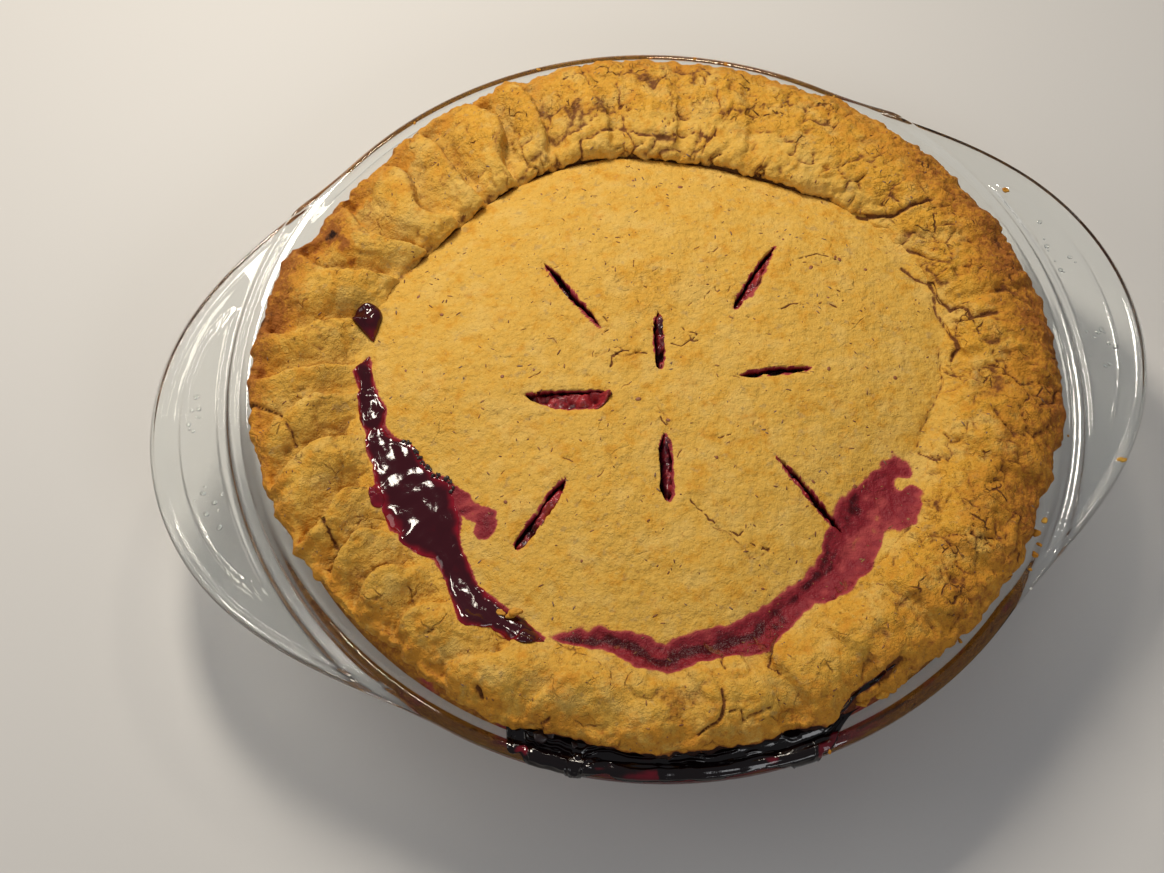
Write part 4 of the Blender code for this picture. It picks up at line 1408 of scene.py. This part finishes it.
def filling_mesh():
    x, y = disc_grid(FILLING_GRID)
    unit = np.stack([x, y, 0 * x], -1).reshape(-1, 3)
    flat = unit * np.minimum(around(BORDER_FOOT, polar(unit)[1]) + 8, 98.0)[:, None]
    quads, rim = disc_faces(FILLING_GRID)
    middles = flat[quads].mean(axis=1)
    near_slit = np.min([slit_distance(middles, slit)[0] for slit in SLITS], axis=0) < 1.4
    top, faces = refine(flat, quads, near_slit, 3)
    radius, angle = polar(top)
    level, gap = slabs(top + 3.0 * noise(top, 20.0, 150)[:, None], 9.0, 151)
    berries = 2.0 * np.sqrt(np.clip(gap / 3.5, 0, 1)) + 0.5 * level
    height = lid_base(radius, angle) - LID_THICKNESS - 2.9 + berries * 0.8 + 0.35 * noise(top, 1.7, 152)
    pulp = 0.45 * noise(top, 1.5, 154) + 0.40 * noise(top, 0.75, 155) + 0.5 * noise(top, 3.0, 156)
    risen = np.zeros_like(radius)
    for number, slit in enumerate(SLITS):
        away, side = slit_distance(top, slit)
        swell, tone = FILLED[number]
        swell = swell * (0.72 + 0.42 * noise(top, 3.4, 153))
        lower_side = -side if number == TURNED_SLIT else side
        swell = swell * smooth_step(slit[4] * 0.60, -slit[4] * 0.05, lower_side)
        raised = np.exp(-(away / 2.5) ** 2)
        height = height + (swell + pulp * 0.9) * raised
        redness = tone * np.clip(swell / 3.5, 0, 1) + 0.35 * noise(top, 2.0, 157) + 0.25 * pulp
        risen = np.maximum(risen, raised * np.clip(redness, 0, 1))
    limit = lid_base(radius, angle) - LID_THICKNESS - 0.25
    outside = np.min([slit_distance(top, slit)[0] for slit in SLITS], axis=0) > 0.6
    top[:, 2] = np.where(outside, np.minimum(height, limit), height) + RIM_HEIGHT
    outward = top[rim][:, :2] / np.linalg.norm(top[rim][:, :2], axis=1, keepdims=True)
    rings = [np.column_stack([outward * reach, np.full(len(rim), low)]) for reach, low in FILLING_WALL]
    return *close_below(top, faces, rim, rings, FILLING_WALL[-1][1]), risen


filling_points, filling_faces, filling_risen = filling_mesh()
filling = make_piece("berry_filling", filling_points, filling_faces, filling_finish())
store(filling, "risen", np.pad(filling_risen.ravel(), (0, len(filling_points) - filling_risen.size)))
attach(filling, BODY)
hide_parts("filling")
print(f"filling: {count_triangles(filling)} triangles")

# %% [markdown]
# ## Juice that boiled over
#
# Berry juice with sugar sets like thick jam. It bubbled out along the channel on the left,
# left one round bead at its upper end, and ran over the rim of the dish at the near side,
# where it burnt nearly black.
#
# Each pool is a ribbon between two edges: columns follow the angle, rows go across. The
# ground under it is found by casting rays down onto the finished pastry, so its thin edges
# meet the real surface. Between the edges it bulges a millimetre, as a set drop does, and
# wrinkles where the skin dried. Thin juice is red and thick juice is almost black, so its
# thickness is stored on the vertices for the colour.

# %% Ground under the juice
def height_finder(pieces):
    """Function that gives the height of the highest piece above each (x, y), in millimetres."""
    graph = bpy.context.evaluated_depsgraph_get()
    trees = [BVHTree.FromObject(piece, graph) for piece in pieces]

    def find(x, y):
        best = -1.0
        for tree in trees:
            hit = tree.ray_cast(Vector((x * MM, y * MM, 0.2)), Vector((0, 0, -1)))[0]
            if hit:
                best = max(best, hit.z / MM)
        return best
    return np.vectorize(find, otypes=[float])


pastry_height = height_finder((border, lid))


def soften(values, times, axis=0):
    """Even out neighbouring values."""
    for _ in range(times):
        padded = np.concatenate([values.take([0], axis), values, values.take([-1], axis)], axis)
        count = values.shape[axis]
        values = (padded.take(range(count), axis) + 2 * padded.take(range(1, count + 1), axis)
                  + padded.take(range(2, count + 2), axis)) / 4
    return values


def ribbon(name, top, bottom, material):
    """Closed sheet from a grid of top points and a grid of bottom points."""
    columns, rows = top.shape[:2]
    count = columns * rows
    index = np.arange(count).reshape(columns, rows)
    quads = grid_quads(index)
    loop = np.concatenate([index[:-1, 0], index[-1, :-1], index[:0:-1, -1], index[0, :0:-1]])
    after = np.roll(loop, -1)
    sides = np.stack([loop, after, after + count, loop + count], -1)
    faces = np.concatenate([quads, quads[:, ::-1] + count, sides]).tolist()
    return make_piece(name, np.concatenate([top.reshape(-1, 3), bottom.reshape(-1, 3)]), faces, material)


# %% Juice material
def juice_finish(name, thin, thick, roughness):
    material, tree, shader = principled(name, Roughness=roughness, Specular_IOR_Level=0.45)
    place = add_node(tree, "ShaderNodeTexCoord").outputs["Object"]
    depth = stored(tree, "thickness") + noise_at(tree, place, 2.5, 3.0).ramp(0.3, 0.7, -0.2, 0.2, False)
    feed(tree, shader.inputs["Base Color"], blend_colours(tree, depth.ramp(0.1, 0.9), thin, thick))
    wrinkle = noise_at(tree, place, 1.6, 2.0, 0.5) * 0.5 + noise_at(tree, place, 0.45, 3.0, 0.6) * 0.45
    add_bump(tree, shader, wrinkle, 0.20, 0.0004)
    return material


jam = juice_finish("set_juice", (0.24, 0.003, 0.014, 1), (0.036, 0.0012, 0.005, 1), 0.09)
burnt = juice_finish("burnt_juice", (0.13, 0.002, 0.010, 1), (0.004, 0.0012, 0.0015, 1), 0.08)


def finish_juice(piece, thickness):
    """Store a juice piece's thickness and tell the frame what it is."""
    store(piece, "thickness", np.tile(np.asarray(thickness).ravel(), 2))
    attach(piece, BODY)
    print(f"{piece.name}: {count_triangles(piece)} triangles")


# %% Juice pool
POOL_COLUMNS = 760
POOL_ROWS = 46


def juice_pool():
    angle = np.linspace(POOL_INNER[0][0], POOL_INNER[-1][0], POOL_COLUMNS)[:, None]
    share = np.linspace(0, 1, POOL_ROWS)[None, :]
    ring = on_circle(80, angle, 0 * angle)
    outer = by_angle(POOL_OUTER, angle) + 0.7 * noise(ring, 3.2, 160) + 0.35 * noise(ring, 1.3, 161)
    inner = by_angle(POOL_INNER, angle) + 0.7 * noise(ring, 3.6, 162) + 0.35 * noise(ring, 1.3, 163)
    middle = (outer + inner) / 2
    half = np.maximum(outer - inner, 0.8) / 2 * smooth_step(0, 0.6, angle - angle[0]) ** 0.5
    half = half * smooth_step(0, 0.6, angle[-1] - angle) ** 0.5
    radius = middle + half * (2 * share - 1)
    x, y = radius * np.cos(np.radians(angle)), radius * np.sin(np.radians(angle))
    ground = pastry_height(x, y)
    level = soften(mix(ground[:, :1], ground[:, -1:], share), 90)
    bulge = np.clip(1 - np.abs(2 * share - 1) ** 2.6, 0, 1) ** 0.75
    plump = np.clip(half / 3.5, 0.25, 1.0)
    flat = np.stack([x, y, 0 * x], -1)
    along = np.stack([radius, angle * 0.38 + 0 * radius, 0 * radius], -1)
    skin = 0.22 * noise(along, 4.2, 165) + 0.11 * noise(along, 2.0, 167) + 0.14 * noise(flat, 5.0, 164)
    ridge = 0.30 * np.exp(-((share - 0.80) / 0.12) ** 2) + 0.24 * np.exp(-((share - 0.30) / 0.10) ** 2)
    skin = skin + ridge * (0.6 + 0.5 * noise(ring, 9.0, 166)) - 0.25 * smooth_step(4, 7, half)
    hold = smooth_step(0.0, 0.55, bulge)
    low = soften(soften(ground, 40), 6, 1)
    top = mix(ground, np.maximum(low, level * 0.5 + low * 0.5 - 0.3), hold) + bulge * plump * (1.05 + skin)
    top = np.where(bulge > 0.02, np.maximum(top, ground + 0.15 * bulge), ground - 0.25)
    below = np.stack([x, y, np.minimum(ground, top) - 0.9], -1)
    return np.stack([x, y, top], -1), below, np.clip(bulge * (0.45 + 0.55 * plump) * 1.15, 0, 1)


pool_top, pool_below, pool_depth = juice_pool()
pool = ribbon("juice_pool", pool_top, pool_below, jam)
finish_juice(pool, pool_depth)


# %% Beads and blobs of juice
BEAD_COLUMNS = 72
BEAD_ROWS = 22


def bead(name, radius_at, angle_at, outline, rise, material):
    """Round blob on the pastry; outline is a function of the turn that gives its half width."""
    turn = np.linspace(0, 2 * math.pi, BEAD_COLUMNS + 1)[:-1, None]
    share = np.linspace(0, 1, BEAD_ROWS)[None, :]
    reach = outline(turn)
    centre = np.array(spot(radius_at, angle_at))
    x = centre[0] + share * reach * np.cos(turn)
    y = centre[1] + share * reach * np.sin(turn)
    ground = pastry_height(x, y)
    level = soften(ground, 4, 1)
    bulge = np.sqrt(np.clip(1 - share ** 2.2, 0, 1)) + 0 * turn
    top = np.stack([x, y, np.where(share < 0.99, level + rise * bulge, ground - 0.3)], -1)
    below = np.stack([x, y, ground - 0.9], -1)
    columns, rows = x.shape
    count = columns * rows
    index = np.arange(count).reshape(columns, rows)
    quads = grid_quads(np.concatenate([index, index[:1]]))
    loop = index[:, -1]
    after = np.roll(loop, -1)
    sides = np.stack([loop, after, after + count, loop + count], -1)
    faces = np.concatenate([quads, quads[:, ::-1] + count, sides]).tolist()
    piece = make_piece(name, np.concatenate([top.reshape(-1, 3), below.reshape(-1, 3)]), faces, material)
    build = bmesh.new()
    build.from_mesh(piece.data)
    bmesh.ops.remove_doubles(build, verts=build.verts, dist=1e-6)
    bmesh.ops.recalc_face_normals(build, faces=build.faces)
    build.to_mesh(piece.data)
    build.free()
    place = vertices(piece)
    away = np.hypot(place[:, 0] - centre[0], place[:, 1] - centre[1])
    store(piece, "thickness", np.clip(1.3 - away / reach.max(), 0, 1))
    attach(piece, BODY)
    return piece


def teardrop(wide, tail, heading):
    """Outline of a drop that runs out to a tail in one direction."""
    shoulder = math.acos(wide / tail)

    def outline(turn):
        off = np.abs(np.angle(np.exp(1j * (turn - math.radians(heading)))))
        return wide / np.cos(np.maximum(shoulder - off, 0))
    return outline


def blob(wide, long, heading, seed):
    """Outline of an uneven blob that is longer in one direction."""
    def outline(turn):
        ring = np.stack([np.cos(turn), np.sin(turn), 0 * turn], -1) * wide
        reach = wide + (long - wide) * np.cos(turn - math.radians(heading)) ** 2
        return reach * (1 + 0.25 * noise(ring, wide * 0.9, seed))
    return outline


drop = bead("juice_bead", 85.3, 159.4, teardrop(4.5, 8.9, 274), 3.0, jam)
lobe = bead("red_lobe", 89.4, 198.2, blob(2.0, 3.9, 280, 170), 0.9, juice_finish(
    "thin_juice", (0.26, 0.004, 0.020, 1), (0.14, 0.003, 0.012, 1), 0.18))
tail_bead = bead("pool_end_bead", 92.2, 235.6, blob(2.4, 3.0, 330, 171), 1.5, jam)
print("beads:", sum(map(count_triangles, (drop, lobe, tail_bead))), "triangles")

# %% [markdown]
# ### Juice over the rim
#
# This ribbon follows the rim's own section, a fraction of a millimetre above the glass. Its
# inner and outer ends wander with the angle, so in places it stops on the crown and in
# others it runs down the outside in a short tongue. Five raised ridges run along it and
# catch the light, and low on the outside some of it is thin enough to show crimson.

# %% Overflow
RIM_PATH = ((110.5, 43.7), (113.2, 43.6), (115.2, 43.0), (116.6, 42.5), (117.4, 43.4), (119.0, 44.0),
            (120.3, 43.6), (121.0, 42.4), (121.0, 40.4), (120.2, 38.9), (119.2, 38.0), (118.2, 36.6),
            (117.2, 34.5), (115.9, 31.5))
RIM_STEPS = 200
OVERFLOW_ROWS = 84
COLUMNS_PER_DEGREE = 10
RIDGES = ((0.17, 0.5), (0.30, 0.7), (0.43, 0.6), (0.60, 0.35), (0.74, 0.3))
UNDER_GLASS_SKIN = 0.12


def running_length(path):
    """Distance along a path to each of its points."""
    return np.concatenate([[0], np.cumsum(np.linalg.norm(np.diff(path, axis=0), axis=1))])


def rim_section(count):
    """Places along the rim from the pastry's edge, over the crown and down the outside."""
    path = np.array(RIM_PATH)
    lengths = running_length(path)
    at = np.linspace(0, lengths[-1], count)
    return np.stack([np.interp(at, lengths, path[:, 0]), np.interp(at, lengths, path[:, 1])], -1), lengths[-1]


def overflow_ribbon(start, end, seed):
    section, length = rim_section(RIM_STEPS)
    angle = np.linspace(start, end, int((end - start) * COLUMNS_PER_DEGREE))[:, None]
    share = np.linspace(0, 1, OVERFLOW_ROWS)[None, :]
    ring = on_circle(118, angle, 0 * angle)
    fade = smooth_step(0, 4.0, angle - start + 1.2 * noise(ring, 3.0, seed + 6)) ** 0.7
    fade = fade * smooth_step(0, 7.0, end - angle) * smooth_step(0, 1.0, angle - start)
    first = 0.6 + 0.6 * noise(ring, 4.0, seed) + 2.5 * (1 - fade)
    tongue = smooth_step(0.30, 0.8, noise(ring, 6.5, seed + 1)) * 7.0
    reach = 11.6 + 1.4 * noise(ring, 8.0, seed + 2) + 0.6 * noise(ring, 2.5, seed + 3) + tongue
    last = first + reach * fade
    row = np.stack([share * 9.0, 0 * share, 0 * share + seed], -1)
    angle = angle + 2.4 * noise(row, 2.0, seed + 7) * np.exp(-(angle - start) / 3.0)
    angle = angle + 2.4 * noise(row, 2.0, seed + 8) * np.exp(-(end - angle) / 4.0)
    along = np.clip((first + (last - first) * share) / length, 0, 1)
    radius, height = (np.interp(along, np.linspace(0, 1, RIM_STEPS), section[:, axis]) for axis in (0, 1))
    rise_r = np.gradient(height, axis=1)
    rise_z = -np.gradient(radius, axis=1)
    size = np.maximum(np.hypot(rise_r, rise_z), 1e-6)
    out_r, out_z = -rise_r / size, -rise_z / size
    flip = np.where(out_z + 0.3 * out_r < 0, -1, 1)
    bulge = np.clip(1 - np.abs(2 * share - 1) ** 3.0, 0, 1) ** 0.7
    flat = on_circle(radius, angle, height)
    streaks = np.stack([angle * 0.30 + 0 * radius, radius * 1.6, height * 1.6], -1)
    thick = 0.60 + 0.24 * noise(flat, 5.0, seed + 4) + 0.30 * noise(streaks, 2.2, seed + 5)
    for number, (middle, high) in enumerate(RIDGES):
        middle = middle + 0.05 * noise(ring, 11.0, seed + 20 + number)
        middle = middle + 0.012 * noise(ring, 2.0, seed + 30 + number)
        lasting = smooth_step(-0.35, 0.1, noise(ring, 9.0, seed + 40 + number))
        thick = thick + high * lasting * np.exp(-((share - middle) / 0.035) ** 2)
    thick = thick + 0.30 * np.maximum(noise(flat, 2.6, seed + 9), 0) * smooth_step(0.45, 0.15, share)
    thick = thick * bulge * (0.3 + 0.7 * fade)
    thick = np.maximum(thick, 0.08)
    swell = 1.2 * smooth_step(0.80, 0.95, share) * np.clip(tongue / 8, 0, 1)
    lifted = thick + swell * (1 - smooth_step(0.97, 1, share))

    def at(away):
        return on_circle(radius + out_r * flip * away, angle, height + out_z * flip * away)

    sheer = smooth_step(0.68, 0.80, share) * smooth_step(1.0, 0.88, share)
    sheer = 0.7 * sheer * smooth_step(0.05, 0.4, noise(flat * np.array((1, 1, 3)), 4.5, seed + 50))
    return at(lifted), at(-UNDER_GLASS_SKIN), 1 - sheer


over_top, over_below, over_depth = overflow_ribbon(238.0, 285.0, 180)
overflow = ribbon("overflow", over_top, over_below, burnt)
finish_juice(overflow, over_depth)


# %% Juice in the split pastry
def run_of_juice(name, line, width, rise, material):
    """Narrow run of juice along a bent line of (radius, angle) corners."""
    corners = np.array([spot(radius, angle) for radius, angle in line])
    lengths = running_length(corners)
    at = np.linspace(0, lengths[-1], max(int(lengths[-1] * 4), 12))
    path = np.stack([np.interp(at, lengths, corners[:, axis]) for axis in (0, 1)], -1)
    path = soften(path, 6)
    path[0], path[-1] = corners[0], corners[-1]
    heading = np.gradient(path, axis=0)
    heading /= np.maximum(np.linalg.norm(heading, axis=1, keepdims=True), 1e-9)
    across = np.stack([-heading[:, 1], heading[:, 0]], -1)
    ends = np.sqrt(np.clip(np.sin(math.pi * np.linspace(0.02, 0.98, len(at))), 0, 1))
    half = width / 2 * ends * (1 + 0.3 * noise(np.stack([at, 0 * at, 0 * at], -1), 3.0, 190))
    share = np.linspace(-1, 1, 13)
    place = path[:, None] + across[:, None] * (half[:, None] * share)[..., None]
    ground = soften(np.maximum(pastry_height(place[..., 0], place[..., 1]), RIM_HEIGHT - 0.4), 2)
    bulge = np.clip(1 - np.abs(share) ** 2.5, 0, 1) ** 0.7
    top = np.dstack([place, ground + rise * bulge - 0.15 * (np.abs(share) > 0.99)])
    below = np.dstack([place, ground - 0.8])
    piece = ribbon(name, top, below, material)
    finish_juice(piece, np.clip(0 * ground + bulge, 0, 1))
    return piece


SPLIT = ((110.0, 292.0), (110.4, 288.5), (111.2, 285.0), (113.8, 282.2))
run_of_juice("juice_in_crack", SPLIT, 1.3, 0.25, burnt)

# %% [markdown]
# ## Bran, crumbs and droplets
#
# Wholemeal flour leaves flecks of bran everywhere. This is scattering, so Geometry Nodes do
# it: points are spread over the pastry's top, each gets a small stretched stone shape, laid
# flat on the surface, turned at random and sunk by half. The tree's inputs are how many per
# square metre, how large and a seed. The same tree settles droplets of steam on the tabs.
#
# Crumbs and burnt bits are fewer and lie in known places. They are listed, or drawn along
# the pool's edge, and each is an uneven little stone made with bmesh.

# %% Tree that scatters grains
def scatter_tree():
    tree, entry, leave = new_geometry_tree("scattered_grains", {
        "Density": (NUMBER, 1000.0), "Seed": ("NodeSocketInt", 1), "Smallest": (NUMBER, 0.0005),
        "Largest": (NUMBER, 0.001), "Stretch": (NUMBER, 2.0), "Flatness": (NUMBER, 0.5),
        "Detail": ("NodeSocketInt", 2), "Material": ("NodeSocketMaterial", None)})

    def given(name):
        return entry.outputs[name]

    spread = add_node(tree, "GeometryNodeDistributePointsOnFaces", {
        "Mesh": given("Geometry"), "Density": given("Density"), "Seed": given("Seed")})
    grain = add_node(tree, "GeometryNodeMeshIcoSphere", {"Radius": 0.5, "Subdivisions": given("Detail")})

    def drawn(low, high, seed):
        node = add_node(tree, "FunctionNodeRandomValue", {2: low, 3: high, "Seed": seed}, data_type="FLOAT")
        return Flow(tree, node.outputs[1])

    size = drawn(given("Smallest"), given("Largest"), given("Seed"))
    scale = add_node(tree, "ShaderNodeCombineXYZ", {
        "X": size * drawn(1.0, given("Stretch"), 5), "Y": size, "Z": size * Flow(tree, given("Flatness"))})
    turn = add_node(tree, "ShaderNodeCombineXYZ", {"Z": drawn(0.0, 2 * math.pi, 9)})
    as_rotation = add_node(tree, "FunctionNodeEulerToRotation", {0: turn.outputs[0]})
    turned_grain = add_node(tree, "FunctionNodeRotateRotation", {
        0: spread.outputs["Rotation"], 1: as_rotation.outputs[0]}, rotation_space="LOCAL")
    placed = add_node(tree, "GeometryNodeInstanceOnPoints", {
        "Points": spread.outputs["Points"], "Instance": grain.outputs["Mesh"],
        "Rotation": turned_grain.outputs[0], "Scale": scale.outputs[0]})
    end_tree(tree, leave, placed.outputs[0], given("Material"))
    return tree


grain_tree = scatter_tree()
print("the scattering tree has", len(grain_tree.nodes), "nodes")


def part_of(piece, name, keep):
    """Mesh with only those faces of a piece whose middles pass the test."""
    mesh = piece.data
    centres = np.empty(len(mesh.polygons) * 3, np.float32)
    normals = np.empty(len(mesh.polygons) * 3, np.float32)
    mesh.polygons.foreach_get("center", centres)
    mesh.polygons.foreach_get("normal", normals)
    passed = keep(centres.reshape(-1, 3) / MM, normals.reshape(-1, 3))
    faces = [tuple(mesh.polygons[i].vertices) for i in np.nonzero(passed)[0]]
    used = sorted({corner for face in faces for corner in face})
    place = {corner: i for i, corner in enumerate(used)}
    part = bpy.data.meshes.new(name)
    part.from_pydata([mesh.vertices[corner].co[:] for corner in used], [],
                     [[place[corner] for corner in face] for face in faces])
    return part


def facing_up(centres, normals):
    return (normals[:, 2] > 0.35) & (centres[:, 2] > RIM_HEIGHT + 1.5)


def bran_finish():
    material, tree, shader = principled("bran", Roughness=0.6)
    place = add_node(tree, "ShaderNodeTexCoord").outputs["Object"]
    kind = noise_at(tree, place, 6.0, 1.0)
    colour = blend_colours(tree, kind.ramp(0.40, 0.50), (0.17, 0.055, 0.016, 1), (0.34, 0.15, 0.035, 1))
    colour = blend_colours(tree, kind.ramp(0.56, 0.62), colour, (0.22, 0.12, 0.07, 1))
    feed(tree, shader.inputs["Base Color"], colour)
    return material


bran = bran_finish()
bran_flake = principled("bran_flake", Base_Color=(0.26, 0.085, 0.025, 1), Roughness=0.55)[0]

# %% Scatter the bran
for number, (piece, density) in enumerate(((lid, 26000.0), (border, 19000.0))):
    flecks = grow(f"bran_on_{piece.name}", part_of(piece, "ground", facing_up), grain_tree, {
        "Density": density, "Seed": 11 + number, "Smallest": 0.20 * MM, "Largest": 0.60 * MM, "Stretch": 4.0,
        "Flatness": 0.25, "Detail": 1, "Material": bran})
    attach(flecks, BODY)
    print(f"{flecks.name}: {count_triangles(flecks) // 20} flecks")

flakes = grow("bran_flakes", part_of(lid, "ground", facing_up), grain_tree, {
    "Density": 1300.0, "Seed": 4, "Smallest": 0.6 * MM, "Largest": 1.25 * MM, "Stretch": 1.7,
    "Flatness": 0.30, "Detail": 2, "Material": bran_flake})
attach(flakes, BODY)
print(f"bran flakes: {count_triangles(flakes)} triangles")


def tab_spots(centres, normals):
    """Two small areas on each tab where steam settled as droplets."""
    radius, angle = polar(centres)
    right = (np.abs(apart(angle, 8)) < 5) | (np.abs(apart(angle, 352)) < 3)
    left = (np.abs(apart(angle, 176)) < 4) | (np.abs(apart(angle, 188)) < 4)
    return (normals[:, 2] > 0.5) & (centres[:, 2] > 41) & (radius > 129) & (radius < 137) & (right | left)


droplets = grow("droplets", part_of(dish, "tabs", tab_spots), grain_tree, {
    "Density": 52000.0, "Seed": 3, "Smallest": 0.5 * MM, "Largest": 1.5 * MM, "Stretch": 1.3,
    "Flatness": 0.45, "Detail": 3, "Material": glass})
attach(droplets, BODY)
print(f"droplets: {count_triangles(droplets)} triangles")

# %% Crumbs
CRUMBS = ((135.6, 336.5, 42.6, 1.7), (129.1, 19.0, 43.4, 1.6), (119.9, 338.3, 44.0, 0.7),
          (117.7, 324.7, 43.4, 1.4), (116.8, 322.5, 43.2, 1.9), (118.8, 320.9, 43.9, 1.2),
          (118.7, 319.2, 43.9, 1.5), (115.7, 318.2, 43.2, 1.3), (115.3, 315.7, 43.1, 1.2),
          (119.2, 316.9, 43.9, 0.9), (115.1, 302.6, 43.2, 1.2), (121.1, 279.3, 43.6, 0.8),
          (113.8, 289.0, 44.6, 3.0), (113.4, 286.0, 44.6, 2.6), (112.9, 291.3, 44.7, 2.4),
          (118.6, 66.0, 44.0, 1.3), (119.4, 71.0, 44.0, 1.0), (118.4, 78.0, 44.0, 0.8),
          (119.1, 96.0, 44.0, 1.0), (118.2, 118.0, 44.0, 0.8), (118.6, 48.0, 44.0, 0.9),
          (87.8, 231.8, 52.5, 3.6), (88.9, 229.9, 52.5, 1.8))


PASTRY_TOP_REACH = 100


def lumps(name, list_of_lumps, material, seed, lift=1.0):
    """Uneven little stones, each at (radius, angle, height, width), joined in one piece."""
    build = bmesh.new()
    for number, (radius, angle, height, wide) in enumerate(list_of_lumps):
        x, y = spot(radius, angle)
        if radius < PASTRY_TOP_REACH:
            height = float(pastry_height(x, y)) + lift
        made = bmesh.ops.create_icosphere(build, subdivisions=3, radius=0.5)["verts"]
        shape = np.array([vertex.co[:] for vertex in made])
        shape = shape * (1 + 0.6 * noise(shape + number * 3.7, 0.40, seed)[:, None])
        spin = number * 2.4
        cosine, sine = math.cos(spin), math.sin(spin)
        turn = np.array([[cosine, sine, 0], [-sine, cosine, 0], [0, 0, 1]])
        shape = shape * np.array((1.25, 0.9, 0.6)) @ turn * wide + np.array((x, y, height + 0.2 * wide))
        for vertex, place in zip(made, shape):
            vertex.co = place * MM
    mesh = bpy.data.meshes.new(name)
    build.to_mesh(mesh)
    build.free()
    mesh.materials.append(material)
    mesh.shade_smooth()
    piece = link_object(name, mesh)
    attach(piece, BODY)
    return piece


crumbs = lumps("crumbs", CRUMBS, pastry, 200)
place = vertices(crumbs)
store(crumbs, "browned_and_shaded", 0.45 + 0.3 * noise(place, 6.0, 201))
for layer in ("soaked_and_shaded", "crack", "pressed"):
    store(crumbs, layer, 0 * place[:, 0])
store(crumbs, "broken", 0.5 + 0 * place[:, 0])
print(f"crumbs: {len(CRUMBS)}, {count_triangles(crumbs)} triangles")

BURNT_EDGE = ((114.0, 242.3, 44.6, 3.4), (112.6, 243.2, 44.8, 2.4), (114.2, 246.8, 44.3, 1.7),
              (113.6, 279.0, 44.2, 1.6), (113.0, 281.0, 44.6, 2.0))


def bits_beside_pool(count, seed):
    """Burnt crumbs strewn along the inner edge of the pool, as (radius, angle, height, width)."""
    chance = np.random.default_rng(seed)
    angle = np.sort(chance.uniform(189.5, 205.5, count))
    radius = by_angle(POOL_INNER, angle) + chance.normal(0.1, 0.45, count)
    return list(zip(radius, angle, 0 * angle, chance.uniform(0.35, 1.15, count)))


burnt_crust = principled("burnt_crust", Base_Color=(0.014, 0.004, 0.004, 1), Roughness=0.40)[0]
burnt_bits = lumps("burnt_bits", [*BURNT_EDGE, *bits_beside_pool(46, 5)], burnt_crust, 210, 0.1)
print(f"burnt bits: {count_triangles(burnt_bits)} triangles")

# %% Floor
floor_material = principled("floor_paint", Base_Color=(0.6, 0.585, 0.56, 1), Roughness=0.6)[0]
floor_mesh = bpy.data.meshes.new("floor")
FLOOR_REACH = 3.0
FLOOR_DROP = 0.0002
corners = [(-FLOOR_REACH, -FLOOR_REACH, 0), (FLOOR_REACH, -FLOOR_REACH, 0),
           (FLOOR_REACH, FLOOR_REACH, 0), (-FLOOR_REACH, FLOOR_REACH, 0)]
floor_mesh.from_pydata(corners, [], [(0, 1, 2, 3)])
floor_mesh.materials.append(floor_material)
floor = link_object("floor", floor_mesh)
floor.location.z = -FLOOR_DROP
print(f"floor: {2 * FLOOR_REACH:.0f} m wide")
